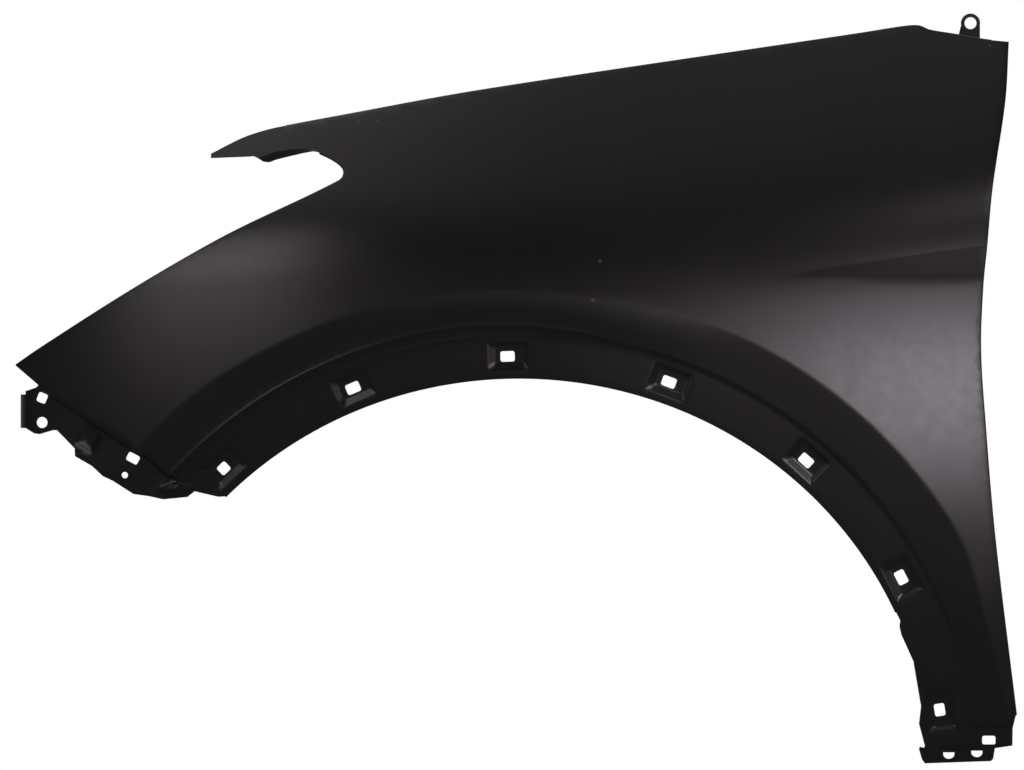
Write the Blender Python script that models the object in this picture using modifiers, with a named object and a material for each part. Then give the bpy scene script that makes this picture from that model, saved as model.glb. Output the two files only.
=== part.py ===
"""Front fender of a car, left side: one outer panel pressed from a single steel sheet.

The panel is laid out in side elevation, in metres from the wheel centre: x runs rearwards
and z runs up. One depth rule then presses the layout into form: y runs inboard, so the
outer face looks along -Y. The rims are turned into flanges, and Solidify gives the gauge.
"""

from math import atan2, cos, degrees, hypot, pi, radians, sin

import bmesh
import bpy
from mathutils import Matrix, Vector
from mathutils.geometry import delaunay_2d_cdt, interpolate_bezier, intersect_point_line

# Sheet
SHEET_THICKNESS = 0.0008
BEND_RADIUS = 0.0012

# Wheel arch: the edge is nearly round, a little wider towards both ends
ARCH_RADIUS = 0.3982
ARCH_SWELL = 0.0148
ARCH_CROWN_ANGLE = 88.0
ARCH_FRONT_ANGLE = 136.6
ARCH_REAR_ANGLE = 23.5
ARCH_LIP = 0.012

# Bands that run round the arch, outwards from its edge
CLIP_FLANGE_WIDTH = 0.0425
STEP_WIDTH_FRONT = 0.012
STEP_WIDTH_REAR = 0.004
BAND_TOP = 0.0912
BAND_TOP_GAIN_FRONT = 0.0061
BAND_TOP_LOSS_FOOT = 0.0137
BAND_DROP = 0.008
FLANGE_RECESS = 0.005
REAR_RECESS = 0.003
FOOT_RECESS_SHARE = 0.4
FLANGE_LEAN = 0.14

# Angles round the arch between which the bands change
STEP_WIDENS = (72.0, 100.0)
STEP_DEEPENS = (60.0, 110.0)
STEP_FADES = (40.0, 12.0)
BAND_WIDENS = (112.0, 136.0)
BAND_NARROWS = (30.0, 14.0)
BAND_FADES = (152.0, 139.0)
BAND_SOFTENS_REAR = (60.0, 80.0)
BAND_SOFTENS_FRONT = (112.0, 98.0)
BAND_ENDS = (141.0, 1.0)

# Clip pads on the arch flange: angle round the arch, distance of the hole from its edge
# and length of the hole
CLIP_HOLES = [
    (134.0, 0.0215, 0.0112),
    (113.3, 0.0215, 0.0144),
    (91.7, 0.0215, 0.0144),
    (69.3, 0.0215, 0.0144),
    (47.8, 0.0215, 0.0144),
    (27.5, 0.0205, 0.0144),
    (8.9, 0.0128, 0.0126),
]
CLIP_HOLE_WIDTH = 0.0106
PAD_LENGTH = 0.040
PAD_WIDTH = 0.029
PAD_WALL = 0.0030
PAD_SLOPE = 0.0075
PAD_DEPTH = 0.003

# Form of the skin
NOSE_SWEEP = 0.160
SWEEP_START = 0.130
SWEEP_LENGTH = 0.636
SWEEP_POWER = 2.5
SHOULDER_HEIGHT = 0.458
SHOULDER_SLOPE = 0.056
CREST_LIFT_SHARE = 0.25
CREST_LIFTS = (0.10, -0.25)
HOOD_HEIGHT = 0.692
HOOD_SLOPE = 0.150
ROLL_RATIO = 0.42
ROLL_POWER = 2.3
TUCK_DEPTH = 0.055
TUCK_HEIGHT = 0.460
TUCK_POWER = 2.0

# Body line that fades out forwards from the door edge
CREASE_REAR_PLACE = (48.62, 0.3022)
CREASE_SLOPE = 0.140
CREASE_LENGTH = 0.227
CREASE_DEPTH = 0.0034
CREASE_REACH = 0.085
LEDGE_HEIGHT = 0.031
LEDGE_LEAST_SHARE = 0.2

# Edges of the panel in side elevation, walked round clockwise from the tip of the beak. Each
# point is a place round the arch: its angle, and its distance out from the arch edge, so the
# outline, its holes and its folds keep their distance from the wheel
HOOD_EDGE = [
    (116.45, 0.2943),
    (113.64, 0.2960),
    (111.90, 0.2951),
    (110.22, 0.2927),
    (104.97, 0.2858),
    (93.33, 0.2896),
    (65.43, 0.4174),
    (62.74, 0.4440),
    (61.91, 0.4505),
    (61.28, 0.4510),
    (59.56, 0.4599),
    (57.62, 0.4710),
    (56.39, 0.4803),
]
DOOR_EDGE = [
    (56.39, 0.4803),
    (54.38, 0.4294),
    (51.30, 0.3505),
    (48.68, 0.3016),
    (46.71, 0.2692),
    (42.85, 0.2215),
    (37.13, 0.1755),
    (26.90, 0.1221),
    (6.95, 0.0873),
]
FOOT_EDGE = [
    (6.95, 0.0873),
    (5.50, 0.0827),
    (3.48, 0.0810),
    (3.29, 0.0634),
    (2.00, 0.0610),
    (1.74, 0.0588),
    (1.71, -0.0103),
]
FOOT_FRONT_EDGE = [
    (1.7, -0.0073),
    (2.3, -0.0101),
    (3.8, -0.0125),
    (4.1, -0.0114),
    (3.9, -0.0074),
    (4.2, -0.0064),
    (7.4, -0.0098),
    (9.8, -0.0050),
    (16.2, -0.0016),
    (20.3, -0.0040),
    (21.5, -0.0026),
    (22.2, 0.0004),
]
FLANGE_CORNER_EDGE = [
    (137.3, 0.0046),
    (138.9, 0.0255),
    (140.1, 0.0271),
    (142.3, 0.0439),
    (143.1, 0.0574),
    (144.0, 0.0708),
]
BUMPER_EDGE = [
    (144.17, 0.0954),
    (144.40, 0.1061),
    (144.20, 0.1207),
    (144.41, 0.1406),
    (143.77, 0.1457),
    (143.36, 0.1708),
    (143.58, 0.1740),
]
TAB_EDGE = [
    (144.70, 0.1826),
    (144.93, 0.1874),
    (144.99, 0.1976),
    (142.46, 0.2181),
    (142.21, 0.2203),
    (141.34, 0.2142),
    (140.97, 0.2141),
]
NOSE_CORNER = (140.91, 0.2443)
HEADLAMP_EDGE = [
    (140.91, 0.2443),
    (138.38, 0.2371),
    (130.32, 0.2203),
    (123.04, 0.2140),
    (117.53, 0.2136),
    (106.85, 0.2230),
    (106.26, 0.2290),
    (106.30, 0.2365),
    (106.89, 0.2457),
    (107.81, 0.2555),
]
BEAK_EDGE = [
    (107.81, 0.2555),
    (108.27, 0.2603),
    (109.65, 0.2661),
    (111.50, 0.2707),
    (112.58, 0.2711),
    (113.32, 0.2748),
    (116.60, 0.2907),
]

# Joggled line where the skin steps back to the bumper flange
JOGGLE_LINE = [
    (141.21, 0.2723),
    (141.12, 0.2128),
    (140.73, 0.1762),
    (140.36, 0.1380),
    (139.91, 0.1050),
    (139.45, 0.0850),
    (139.58, 0.0616),
    (138.54, 0.0400),
]
JOGGLE_DROP = 0.0035

# Steps across the foot that carry the sill cover: height, start rearwards of the arch's
# radius, length over which the step deepens, and depth
FOOT_STEPS = [
    (0.0520, 0.0418, 0.015, 0.0025),
    (0.0305, 0.0198, 0.010, 0.0030),
]
FOOT_STEP_DROP = 0.004

# Holes in the front flange and in the foot: place, then length, width and turn in degrees
TAB_SQUARE_HOLE = ((141.76, 0.2030), 0.0100, 0.0100, -22.0)
FLANGE_SLOT = ((140.71, 0.0939), 0.0128, 0.0092, -28.0)
FOOT_SQUARE_HOLE = ((4.31, 0.0578), 0.0134, 0.0090, 0.0)
TAB_ROUND_HOLE = ((143.63, 0.1876), 0.0112)
FLANGE_ROUND_HOLE = ((142.82, 0.0893), 0.0065)
SILL_HOLES = [
    (2.64, 0.0170),
    (2.69, 0.0451),
]
SILL_HOLE_LENGTH = 0.0112
SILL_HOLE_WIDTH = 0.0066
SILL_HOLE_SIDE = 0.0015
HOLE_CORNER = 0.0018

# Raised bead and sunk pocket on the bumper flange
BEAD_PLACE = (140.28, 0.0417)
BEAD_LENGTH = 0.033
BEAD_WIDTH = 0.013
BEAD_TURN = 4.0
BEAD_HEIGHT = 0.004
POCKET_PLACE = (142.03, 0.1407)
POCKET_LENGTH = 0.021
POCKET_WIDTH = 0.023
POCKET_TURN = -28.0
POCKET_WALL = 0.003
POCKET_DEPTH = 0.002

# Flanges turned inboard from the rims
DOOR_FLANGE = 0.014
HEADLAMP_FLANGE = 0.016
NOSE_HEM = 0.005
TAB_LIP_OUT = 0.005
TAB_LIP_IN = 0.009
BEAK_LIP_IN = 0.012
BEAK_LIP_IN_LEAST = 0.003
BEAK_LIP_DROP = 0.008
BEAK_LIP_FRONT = -0.268
BEAK_LIP_DEEPEST = -0.252
BEAK_LIP_REAR = -0.200
HOOD_WALL = 0.023
HOOD_WALL_LEAN = 0.004
HOOD_SHELF = 0.028
HOOD_FLANGE_FRONT = -0.235
HOOD_TAPER_LENGTH = 0.055
HOOD_TAPER_LEAST = 0.3

# Bolt holes through the shelf of the hood flange, and the seat that is measured between two
SHELF_HOLE_DIAMETER = 0.009
SHELF_HOLES_X = [-0.170, 0.010, 0.175, 0.325]
SHELF_HOLE_INBOARD = 0.0154
SHELF_SEAT_X = 0.250

# Ear that stands up from the rear end of the shelf, and the shelf's length beyond its foot
EAR_HOLE_PLACE = (59.06, 0.4774)
EAR_HOLE_DIAMETER = 0.012
EAR_RIM = 0.0037
EAR_FOOT_WIDTH = 0.026
SHELF_BEYOND_EAR = 0.009

# Layout spacing, and how much of the body line is laid out as folds
LINE_STEP = 0.011
DOOR_STEP = 0.016
BEAK_STEP = 0.008
GRID_STEP = 0.021
LINE_CLEARANCE = 0.006
CREASE_LINE_SHARE = 0.92

# Folds sharper than this are shaded as edges
FOLD_ANGLE = radians(12.0)

INBOARD = Vector((0.0, 1.0, 0.0))
PANEL_COLOUR = (0.012, 0.012, 0.013, 1.0)


def blend(value, start, end):
    """Smooth step from 0 at start to 1 at end, in either direction."""
    t = min(1.0, max(0.0, (value - start) / (end - start)))
    return t * t * (3.0 - 2.0 * t)


def ramp(value, length):
    """Straight rise from 0 to 1 over a length."""
    return min(1.0, max(0.0, value / length))


def smooth_line(points, step=LINE_STEP):
    """Points along one smooth curve through the given points."""
    knots = [Vector(p) for p in points]
    line = [knots[0]]
    for i in range(len(knots) - 1):
        start, end = knots[i], knots[i + 1]
        before = knots[max(i - 1, 0)]
        after = knots[min(i + 2, len(knots) - 1)]
        length = (end - start).length
        reach_start = (end - before).normalized() * length / 3.0
        reach_end = (after - start).normalized() * length / 3.0
        count = max(1, round(length / step)) + 1
        line += interpolate_bezier(start, start + reach_start, end - reach_end, end, count)[1:]
    return [tuple(p) for p in line]


def height_on(line, x):
    """Height of a line of points at one x, its end heights beyond it."""
    if x <= line[0][0]:
        return line[0][1]
    for (x0, z0), (x1, z1) in zip(line, line[1:]):
        if x <= x1:
            return z0 + (z1 - z0) * (x - x0) / (x1 - x0)
    return line[-1][1]


def arch_edge_radius(angle):
    return ARCH_RADIUS + ARCH_SWELL * sin(radians(angle - ARCH_CROWN_ANGLE)) ** 2


def arch_point(angle, offset):
    """Point at an angle round the arch and a distance out from its edge."""
    radius = arch_edge_radius(angle) + offset
    return (radius * cos(radians(angle)), radius * sin(radians(angle)))


def arch_line(places):
    return [arch_point(angle, offset) for angle, offset in places]


def arch_place(x, z):
    """Angle round the arch, and distance out from its edge, of a point."""
    angle = degrees(atan2(z, x))
    return angle, hypot(x, z) - arch_edge_radius(angle)


def step_top(angle):
    """Distance from the arch edge to the top of the step behind the band."""
    width = STEP_WIDTH_REAR + (STEP_WIDTH_FRONT - STEP_WIDTH_REAR) * blend(angle, *STEP_WIDENS)
    return CLIP_FLANGE_WIDTH + width


def band_top(angle):
    """Distance from the arch edge to the crease where the band leaves the skin."""
    gain = BAND_TOP_GAIN_FRONT * blend(angle, *BAND_WIDENS)
    loss = BAND_TOP_LOSS_FOOT * blend(angle, *BAND_NARROWS)
    return BAND_TOP + gain - loss


def band_drop(x, z):
    """Depth to which the band round the arch sinks; its crease is soft at the crown."""
    angle, out = arch_place(x, z)
    top, foot = band_top(angle), step_top(angle)
    fade = blend(angle, *BAND_FADES)
    softness = blend(angle, *BAND_SOFTENS_REAR) * blend(angle, *BAND_SOFTENS_FRONT)
    return BAND_DROP * fade * ramp(top - out, top - foot) ** (1.0 + softness)


def step_recess(x, z):
    """Depth of the step from the band back to the clip flange, which leans inboard."""
    angle, out = arch_place(x, z)
    top = step_top(angle)
    depth = REAR_RECESS + (FLANGE_RECESS - REAR_RECESS) * blend(angle, *STEP_DEEPENS)
    depth *= 1.0 - (1.0 - FOOT_RECESS_SHARE) * blend(angle, *STEP_FADES)
    lean = FLANGE_LEAN * max(0.0, CLIP_FLANGE_WIDTH - out)
    return depth * ramp(top - out, top - CLIP_FLANGE_WIDTH) + lean


def skin_form(x, z):
    """Depth of the smooth skin: nose sweep, roll to the hood and tuck to the sill.

    The crest, where the skin is widest, rises above the shoulder's line towards the nose.
    """
    sweep = NOSE_SWEEP * max(0.0, (SWEEP_START - x) / SWEEP_LENGTH) ** SWEEP_POWER
    shoulder = SHOULDER_HEIGHT + SHOULDER_SLOPE * x
    room = HOOD_HEIGHT + HOOD_SLOPE * x - shoulder
    lift = CREST_LIFT_SHARE * room * blend(x, *CREST_LIFTS)
    crest = shoulder + lift
    roll = ROLL_RATIO * room * max(0.0, (z - crest) / (room - lift)) ** ROLL_POWER
    tuck = TUCK_DEPTH * max(0.0, (crest - z) / TUCK_HEIGHT) ** TUCK_POWER
    return sweep + roll + tuck


def crease_height(x):
    rear_x, rear_z = arch_point(*CREASE_REAR_PLACE)
    return rear_z - CREASE_SLOPE * (rear_x - x)


def crease_strength(x):
    rear_x = arch_point(*CREASE_REAR_PLACE)[0]
    return blend(x, rear_x - CREASE_LENGTH, rear_x)


def ledge_height(x):
    return LEDGE_HEIGHT * max(crease_strength(x), LEDGE_LEAST_SHARE)


def body_line(x, z):
    """Depth of the valley of the body line, with the ledge that rises below it."""
    depth = CREASE_DEPTH * crease_strength(x)
    above = z - crease_height(x)
    if above >= 0.0:
        return depth * (1.0 - ramp(above, CREASE_REACH)) ** 2
    return depth * (1.0 - ramp(-above, ledge_height(x)))


def joggle_recess(x, z):
    """Depth of the joggle from the skin back to the bumper flange."""
    line = arch_line(JOGGLE_LINE)
    if x > line[-1][0]:
        return 0.0
    return FLANGE_RECESS * ramp(height_on(line, x) - z, JOGGLE_DROP)


def foot_recess(x, z):
    """Depth of the two steps across the foot."""
    depth = 0.0
    for height, start, fade, step in FOOT_STEPS:
        depth += step * ramp(height - z, FOOT_STEP_DROP) * ramp(x - ARCH_RADIUS - start, fade)
    return depth


def in_frame(x, z, centre, turn):
    """A point in the frame of a feature that is turned in the side elevation."""
    dx, dz = x - centre[0], z - centre[1]
    c, s = cos(radians(turn)), sin(radians(turn))
    return dx * c + dz * s, dz * c - dx * s


def pad_rise(u, v, length, width, low, high):
    """Share of a pad's depth at a point of its own frame.

    The walls of its low sides, towards the nose and the wheel, may be wider than those of its high sides.
    """
    low_side = min(ramp(length / 2.0 + u, low), ramp(width / 2.0 + v, low))
    high_side = min(ramp(length / 2.0 - u, high), ramp(width / 2.0 - v, high))
    return min(low_side, high_side)


def pads_and_beads(x, z):
    """Depth of the clip pads, the bead and the pocket; pads are sunk inboard."""
    depth = 0.0
    for angle, out, _ in CLIP_HOLES:
        u, v = in_frame(x, z, arch_point(angle, out), angle - 90.0)
        depth += PAD_DEPTH * pad_rise(u, v, PAD_LENGTH, PAD_WIDTH, PAD_SLOPE, PAD_WALL)
    u, v = in_frame(x, z, arch_point(*BEAD_PLACE), BEAD_TURN)
    depth -= BEAD_HEIGHT * max(0.0, 1.0 - (2 * u / BEAD_LENGTH) ** 2 - (2 * v / BEAD_WIDTH) ** 2)
    u, v = in_frame(x, z, arch_point(*POCKET_PLACE), POCKET_TURN)
    depth += POCKET_DEPTH * pad_rise(u, v, POCKET_LENGTH, POCKET_WIDTH, POCKET_WALL, POCKET_WALL)
    return depth


def depth_at(x, z):
    """Depth of the finished panel, inboard, at a point of the side elevation."""
    recess = max(step_recess(x, z), joggle_recess(x, z)) + foot_recess(x, z)
    return skin_form(x, z) + body_line(x, z) + recess + band_drop(x, z) + pads_and_beads(x, z)


def rectangle(centre, length, width, turn):
    """Corners of a turned rectangle."""
    c, s = cos(radians(turn)), sin(radians(turn))
    corners = []
    for u, v in ((-1, -1), (1, -1), (1, 1), (-1, 1)):
        du, dv = u * length / 2.0, v * width / 2.0
        corners.append((centre[0] + du * c - dv * s, centre[1] + du * s + dv * c))
    return corners


def clipped_rectangle(centre, length, width, turn):
    """Corners of a turned rectangle whose four corners are cut off."""
    c, s = cos(radians(turn)), sin(radians(turn))
    points = []
    for u, v in ((-1, -1), (1, -1), (1, 1), (-1, 1)):
        short = (u * (length / 2.0 - HOLE_CORNER), v * width / 2.0)
        long = (u * length / 2.0, v * (width / 2.0 - HOLE_CORNER))
        pair = (long, short) if u == v else (short, long)
        for du, dv in pair:
            points.append((centre[0] + du * c - dv * s, centre[1] + du * s + dv * c))
    return points


def ellipse(centre, length, width, turn, count):
    c, s = cos(radians(turn)), sin(radians(turn))
    points = []
    for i in range(count):
        du = length / 2.0 * cos(2.0 * pi * i / count)
        dv = width / 2.0 * sin(2.0 * pi * i / count)
        points.append((centre[0] + du * c - dv * s, centre[1] + du * s + dv * c))
    return points


def half_round(centre):
    """D-shaped hole of the sill strip: flat on top and round below."""
    top = centre[1] + SILL_HOLE_WIDTH / 2.0
    points = [(centre[0] + SILL_HOLE_LENGTH / 2.0, top)]
    for i in range(7):
        angle = -pi * i / 6.0
        x = centre[0] + SILL_HOLE_LENGTH / 2.0 * cos(angle)
        drop = SILL_HOLE_SIDE - (SILL_HOLE_WIDTH - SILL_HOLE_SIDE) * sin(angle)
        points.append((x, top - drop))
    points.append((centre[0] - SILL_HOLE_LENGTH / 2.0, top))
    return points[::-1]


def arch_run(start, end, offset_rule, step=LINE_STEP):
    """Line round the arch between two angles, at a distance given by a rule."""
    count = max(2, round(abs(end - start) * radians(1.0) * ARCH_RADIUS / step))
    angles = [start + (end - start) * i / count for i in range(count + 1)]
    return [arch_point(a, offset_rule(a)) for a in angles]


def edge_runs():
    """The panel's outline as named runs, each from the end of the one before."""
    return {
        "hood": smooth_line(arch_line(HOOD_EDGE)),
        "door": smooth_line(arch_line(DOOR_EDGE), DOOR_STEP),
        "foot": arch_line(FOOT_EDGE[:-1] + FOOT_FRONT_EDGE),
        "arch": arch_run(ARCH_REAR_ANGLE, ARCH_FRONT_ANGLE, lambda a: 0.0),
        "bumper": arch_line(FLANGE_CORNER_EDGE + BUMPER_EDGE),
        "tab": arch_line(TAB_EDGE),
        "nose": arch_line([TAB_EDGE[-1], NOSE_CORNER]),
        "headlamp": smooth_line(arch_line(HEADLAMP_EDGE)),
        "beak": smooth_line(arch_line(BEAK_EDGE), BEAK_STEP),
    }


def hole_outlines():
    """Outlines of the holes that are pierced through the panel."""
    holes = []
    for angle, out, length in CLIP_HOLES:
        centre = arch_point(angle, out)
        holes.append(clipped_rectangle(centre, length, CLIP_HOLE_WIDTH, angle - 90.0))
    for place, length, width, turn in (TAB_SQUARE_HOLE, FLANGE_SLOT, FOOT_SQUARE_HOLE):
        holes.append(clipped_rectangle(arch_point(*place), length, width, turn))
    for place, diameter in (TAB_ROUND_HOLE, FLANGE_ROUND_HOLE):
        holes.append(ellipse(arch_point(*place), diameter, diameter, 0.0, 12))
    holes += [half_round(centre) for centre in arch_line(SILL_HOLES)]
    return holes


def form_lines():
    """Open lines and closed outlines that the form's folds follow."""
    joggle = arch_line(JOGGLE_LINE[1:])
    foot = arch_line(FOOT_EDGE)
    crease_rear_x = arch_point(*CREASE_REAR_PLACE)[0]
    lines = [
        arch_run(*BAND_ENDS, band_top),
        arch_run(*BAND_ENDS, step_top),
        arch_run(*BAND_ENDS, lambda a: CLIP_FLANGE_WIDTH),
        joggle,
        [(x, z - JOGGLE_DROP) for x, z in joggle],
    ]
    for drop in (0.0, 1.0):
        line = []
        for i in range(21):
            x = crease_rear_x - CREASE_LENGTH * CREASE_LINE_SHARE * i / 20.0
            line.append((x, crease_height(x) - drop * ledge_height(x)))
        lines.append(line)
    for height, start, fade, _ in FOOT_STEPS:
        front = ARCH_RADIUS + start
        for drop in (0.0, FOOT_STEP_DROP):
            lines.append([(front, height - drop), (foot[0][0], height - drop)])
        for side in (front, front + fade):
            lines.append([(side, height), (side, foot[-1][1])])
    closed = []
    for angle, out, _ in CLIP_HOLES:
        centre = arch_point(angle, out)
        turn = angle - 90.0
        closed.append(rectangle(centre, PAD_LENGTH, PAD_WIDTH, turn))
        shift = (PAD_SLOPE - PAD_WALL) / 2.0
        c, s = cos(radians(turn)), sin(radians(turn))
        middle = (centre[0] + shift * (c - s), centre[1] + shift * (c + s))
        inner = (PAD_LENGTH - PAD_SLOPE - PAD_WALL, PAD_WIDTH - PAD_SLOPE - PAD_WALL)
        closed.append(rectangle(middle, *inner, turn))
    bead = arch_point(*BEAD_PLACE)
    closed.append(ellipse(bead, BEAD_LENGTH, BEAD_WIDTH, BEAD_TURN, 16))
    closed.append(ellipse(bead, BEAD_LENGTH * 0.7, BEAD_WIDTH * 0.6, BEAD_TURN, 10))
    pocket = arch_point(*POCKET_PLACE)
    closed.append(rectangle(pocket, POCKET_LENGTH, POCKET_WIDTH, POCKET_TURN))
    inner = (POCKET_LENGTH - 2 * POCKET_WALL, POCKET_WIDTH - 2 * POCKET_WALL)
    closed.append(rectangle(pocket, *inner, POCKET_TURN))
    return lines, closed


def inside(point, loop):
    """Whether a point lies inside a closed loop of points."""
    x, z = point
    crossed = False
    for (x0, z0), (x1, z1) in zip(loop, loop[1:] + loop[:1]):
        if (z0 > z) != (z1 > z) and x < x0 + (x1 - x0) * (z - z0) / (z1 - z0):
            crossed = not crossed
    return crossed


def grid_points(loop, crowded):
    """Staggered grid inside the outline, clear of the lines that are already laid out."""
    cell = GRID_STEP
    near = {}
    for x, z in crowded:
        near.setdefault((round(x / cell), round(z / cell)), []).append((x, z))
    points = []
    row_step = cell * sin(radians(60.0))
    low_x, high_x = min(p[0] for p in loop), max(p[0] for p in loop)
    high_z = max(p[1] for p in loop)
    for row in range(int(high_z / row_step) + 1):
        z = row * row_step
        for column in range(int(low_x / cell) - 1, int(high_x / cell) + 1):
            x = (column + (row % 2) / 2.0) * cell
            i, j = round(x / cell), round(z / cell)
            around = [p for a in (-1, 0, 1) for b in (-1, 0, 1) for p in near.get((i + a, j + b), [])]
            if all(hypot(x - p[0], z - p[1]) > LINE_CLEARANCE for p in around) and inside((x, z), loop):
                points.append((x, z))
    return points


def lay_out_sheet():
    """Flat side elevation of the panel, as triangles that follow every fold and hole."""
    runs = edge_runs()
    loop = []
    for run in runs.values():
        loop += [p for p in run if not loop or hypot(p[0] - loop[-1][0], p[1] - loop[-1][1]) > 1e-5]
    holes = hole_outlines()
    lines, closed = form_lines()
    points, edges = [], []
    for line in lines:
        start = len(points)
        points += line
        edges += [(start + i, start + i + 1) for i in range(len(line) - 1)]
    for ring in [loop] + holes + closed:
        start = len(points)
        points += ring
        edges += [(start + i, start + (i + 1) % len(ring)) for i in range(len(ring))]
    points += grid_points(loop, list(points))
    flat = [Vector(p) for p in points]
    verts, _, faces, *_ = delaunay_2d_cdt(flat, edges, [], 0, 1e-5)
    kept = []
    for face in faces:
        centre = sum((verts[i] for i in face), Vector((0.0, 0.0))) / len(face)
        if inside(centre, loop) and not any(inside(centre, hole) for hole in holes):
            kept.append(face)
    return verts, kept, runs


def press(verts, faces):
    """Presses the flat layout into form by moving each point to its depth."""
    panel = bmesh.new()
    made = {}
    for face in faces:
        for i in face:
            if i not in made:
                x, z = verts[i]
                made[i] = panel.verts.new((x, depth_at(x, z), z))
        panel.faces.new([made[i] for i in face])
    return panel


def outward_normals(edges):
    """Direction out of the panel, in side elevation, at each vertex of some rim edges."""
    normals = {}
    for edge in edges:
        a, b = edge.verts
        along = b.co - a.co
        across = Vector((along.z, 0.0, -along.x)).normalized()
        centre = edge.link_faces[0].calc_center_median()
        if across.dot(centre - a.co) > 0.0:
            across = -across
        for vert in edge.verts:
            normals[vert] = normals.get(vert, Vector()) + across
    return {vert: normal.normalized() for vert, normal in normals.items()}


def rim_edges(panel, run, first=-10.0, last=10.0):
    """Open edges of the panel along one run of the outline, between two x limits."""
    found = []
    for edge in panel.edges:
        if not edge.is_boundary:
            continue
        ends = [Vector((v.co.x, v.co.z)) for v in edge.verts]
        middle = (ends[0] + ends[1]) / 2.0
        if not first <= middle.x <= last:
            continue
        for a, b in zip(run, run[1:]):
            foot, share = intersect_point_line(middle, Vector(a), Vector(b))
            if -0.01 <= share <= 1.01 and (foot - middle).length < 2e-5:
                found.append(edge)
                break
    return found


def turn_flange(panel, edges, steps):
    """Turns a rim through a list of steps: out of the outline, and inboard.

    A step may be a pair of numbers or a rule that gives the pair for a place on the rim.
    """
    normals = outward_normals(edges)
    for step in steps:
        made = bmesh.ops.extrude_edge_only(panel, edges=edges)["geom"]
        fresh = [g for g in made if isinstance(g, bmesh.types.BMVert)]
        edges = [g for g in made if isinstance(g, bmesh.types.BMEdge)]
        edges = [e for e in edges if all(v in fresh for v in e.verts)]
        carried = {}
        for vert in fresh:
            parents = [e.other_vert(vert) for e in vert.link_edges]
            parent = next(p for p in parents if p in normals and p not in fresh)
            carried[vert] = normals[parent]
        for vert in fresh:
            out, inboard = step(vert.co) if callable(step) else step
            vert.co += carried[vert] * out + INBOARD * inboard
        normals = carried
    return edges


def bend():
    """Steps of a bend from the skin to a flange at right angles to it."""
    half = BEND_RADIUS * 0.7
    return [(half, BEND_RADIUS - half), (BEND_RADIUS - half, half)]


def beak_lip(place):
    """The lip below the beak drops most near its front end."""
    if place.x < BEAK_LIP_DEEPEST:
        share = blend(place.x, BEAK_LIP_FRONT, BEAK_LIP_DEEPEST)
    else:
        share = 1.0 - ramp(place.x - BEAK_LIP_DEEPEST, BEAK_LIP_REAR - BEAK_LIP_DEEPEST) ** 2
    inboard = BEAK_LIP_IN_LEAST + (BEAK_LIP_IN - BEAK_LIP_IN_LEAST) * share
    return BEAK_LIP_DROP * share, inboard


def hood_wall_taper(place):
    """Share of its full size that the hood flange has, which is least at its front end."""
    share = blend(place.x, HOOD_FLANGE_FRONT, HOOD_FLANGE_FRONT + HOOD_TAPER_LENGTH)
    return HOOD_TAPER_LEAST + (1.0 - HOOD_TAPER_LEAST) * share


def turn_flanges(panel, runs):
    """Turns every rim that has a flange."""
    ear_rear = arch_point(*EAR_HOLE_PLACE)[0] + EAR_FOOT_WIDTH / 2.0
    hood = rim_edges(panel, runs["hood"], HOOD_FLANGE_FRONT, ear_rear + SHELF_BEYOND_EAR)
    fold = [(BEND_RADIUS * 0.4, BEND_RADIUS), (-BEND_RADIUS * 0.4, BEND_RADIUS)]
    wall = [lambda p: (-HOOD_WALL * hood_wall_taper(p), HOOD_WALL_LEAN)]
    shelf = [lambda p: (0.0, HOOD_SHELF * hood_wall_taper(p))]
    turn_flange(panel, hood, fold + wall + shelf)
    turn_flange(panel, rim_edges(panel, runs["door"]), bend() + [(0.0, DOOR_FLANGE)])
    turn_flange(panel, rim_edges(panel, runs["arch"]), bend() + [(0.0, ARCH_LIP)])
    headlamp = rim_edges(panel, runs["headlamp"])
    turn_flange(panel, headlamp, bend() + [(0.0, HEADLAMP_FLANGE)])
    beak = rim_edges(panel, runs["beak"], BEAK_LIP_FRONT, BEAK_LIP_REAR)
    turn_flange(panel, beak, [beak_lip])
    turn_flange(panel, rim_edges(panel, runs["nose"]), bend() + [(0.0, NOSE_HEM)])
    tab_side = rim_edges(panel, runs["tab"][2:4])
    turn_flange(panel, tab_side, [(TAB_LIP_OUT, TAB_LIP_IN)])


def panel_material():
    """Black electrocoat primer, satin."""
    material = bpy.data.materials.new("black_electrocoat")
    material.use_nodes = True
    shader = material.node_tree.nodes["Principled BSDF"]
    shader.inputs["Base Color"].default_value = PANEL_COLOUR
    shader.inputs["Roughness"].default_value = 0.38
    shader.inputs["Metallic"].default_value = 0.0
    material.diffuse_color = PANEL_COLOUR
    return material


def hood_edge_point(x):
    """Point of the pressed skin on the hood edge."""
    z = height_on(smooth_line(arch_line(HOOD_EDGE)), x)
    return Vector((x, depth_at(x, z), z))


def hood_edge_up(x):
    """Direction square to the hood edge, upwards, in side elevation."""
    reach = 0.006
    along = hood_edge_point(x + reach) - hood_edge_point(x - reach)
    return Vector((-along.z, 0.0, along.x)).normalized()


def shelf_point(x, across):
    """Point on the upper face of the shelf, a distance inboard from its wall."""
    edge = hood_edge_point(x)
    inboard = 2.0 * BEND_RADIUS + HOOD_WALL_LEAN + across
    return edge - hood_edge_up(x) * HOOD_WALL + INBOARD * inboard


def new_object(name, mesh, collection):
    item = bpy.data.objects.new(name, mesh)
    collection.objects.link(item)
    return item


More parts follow.
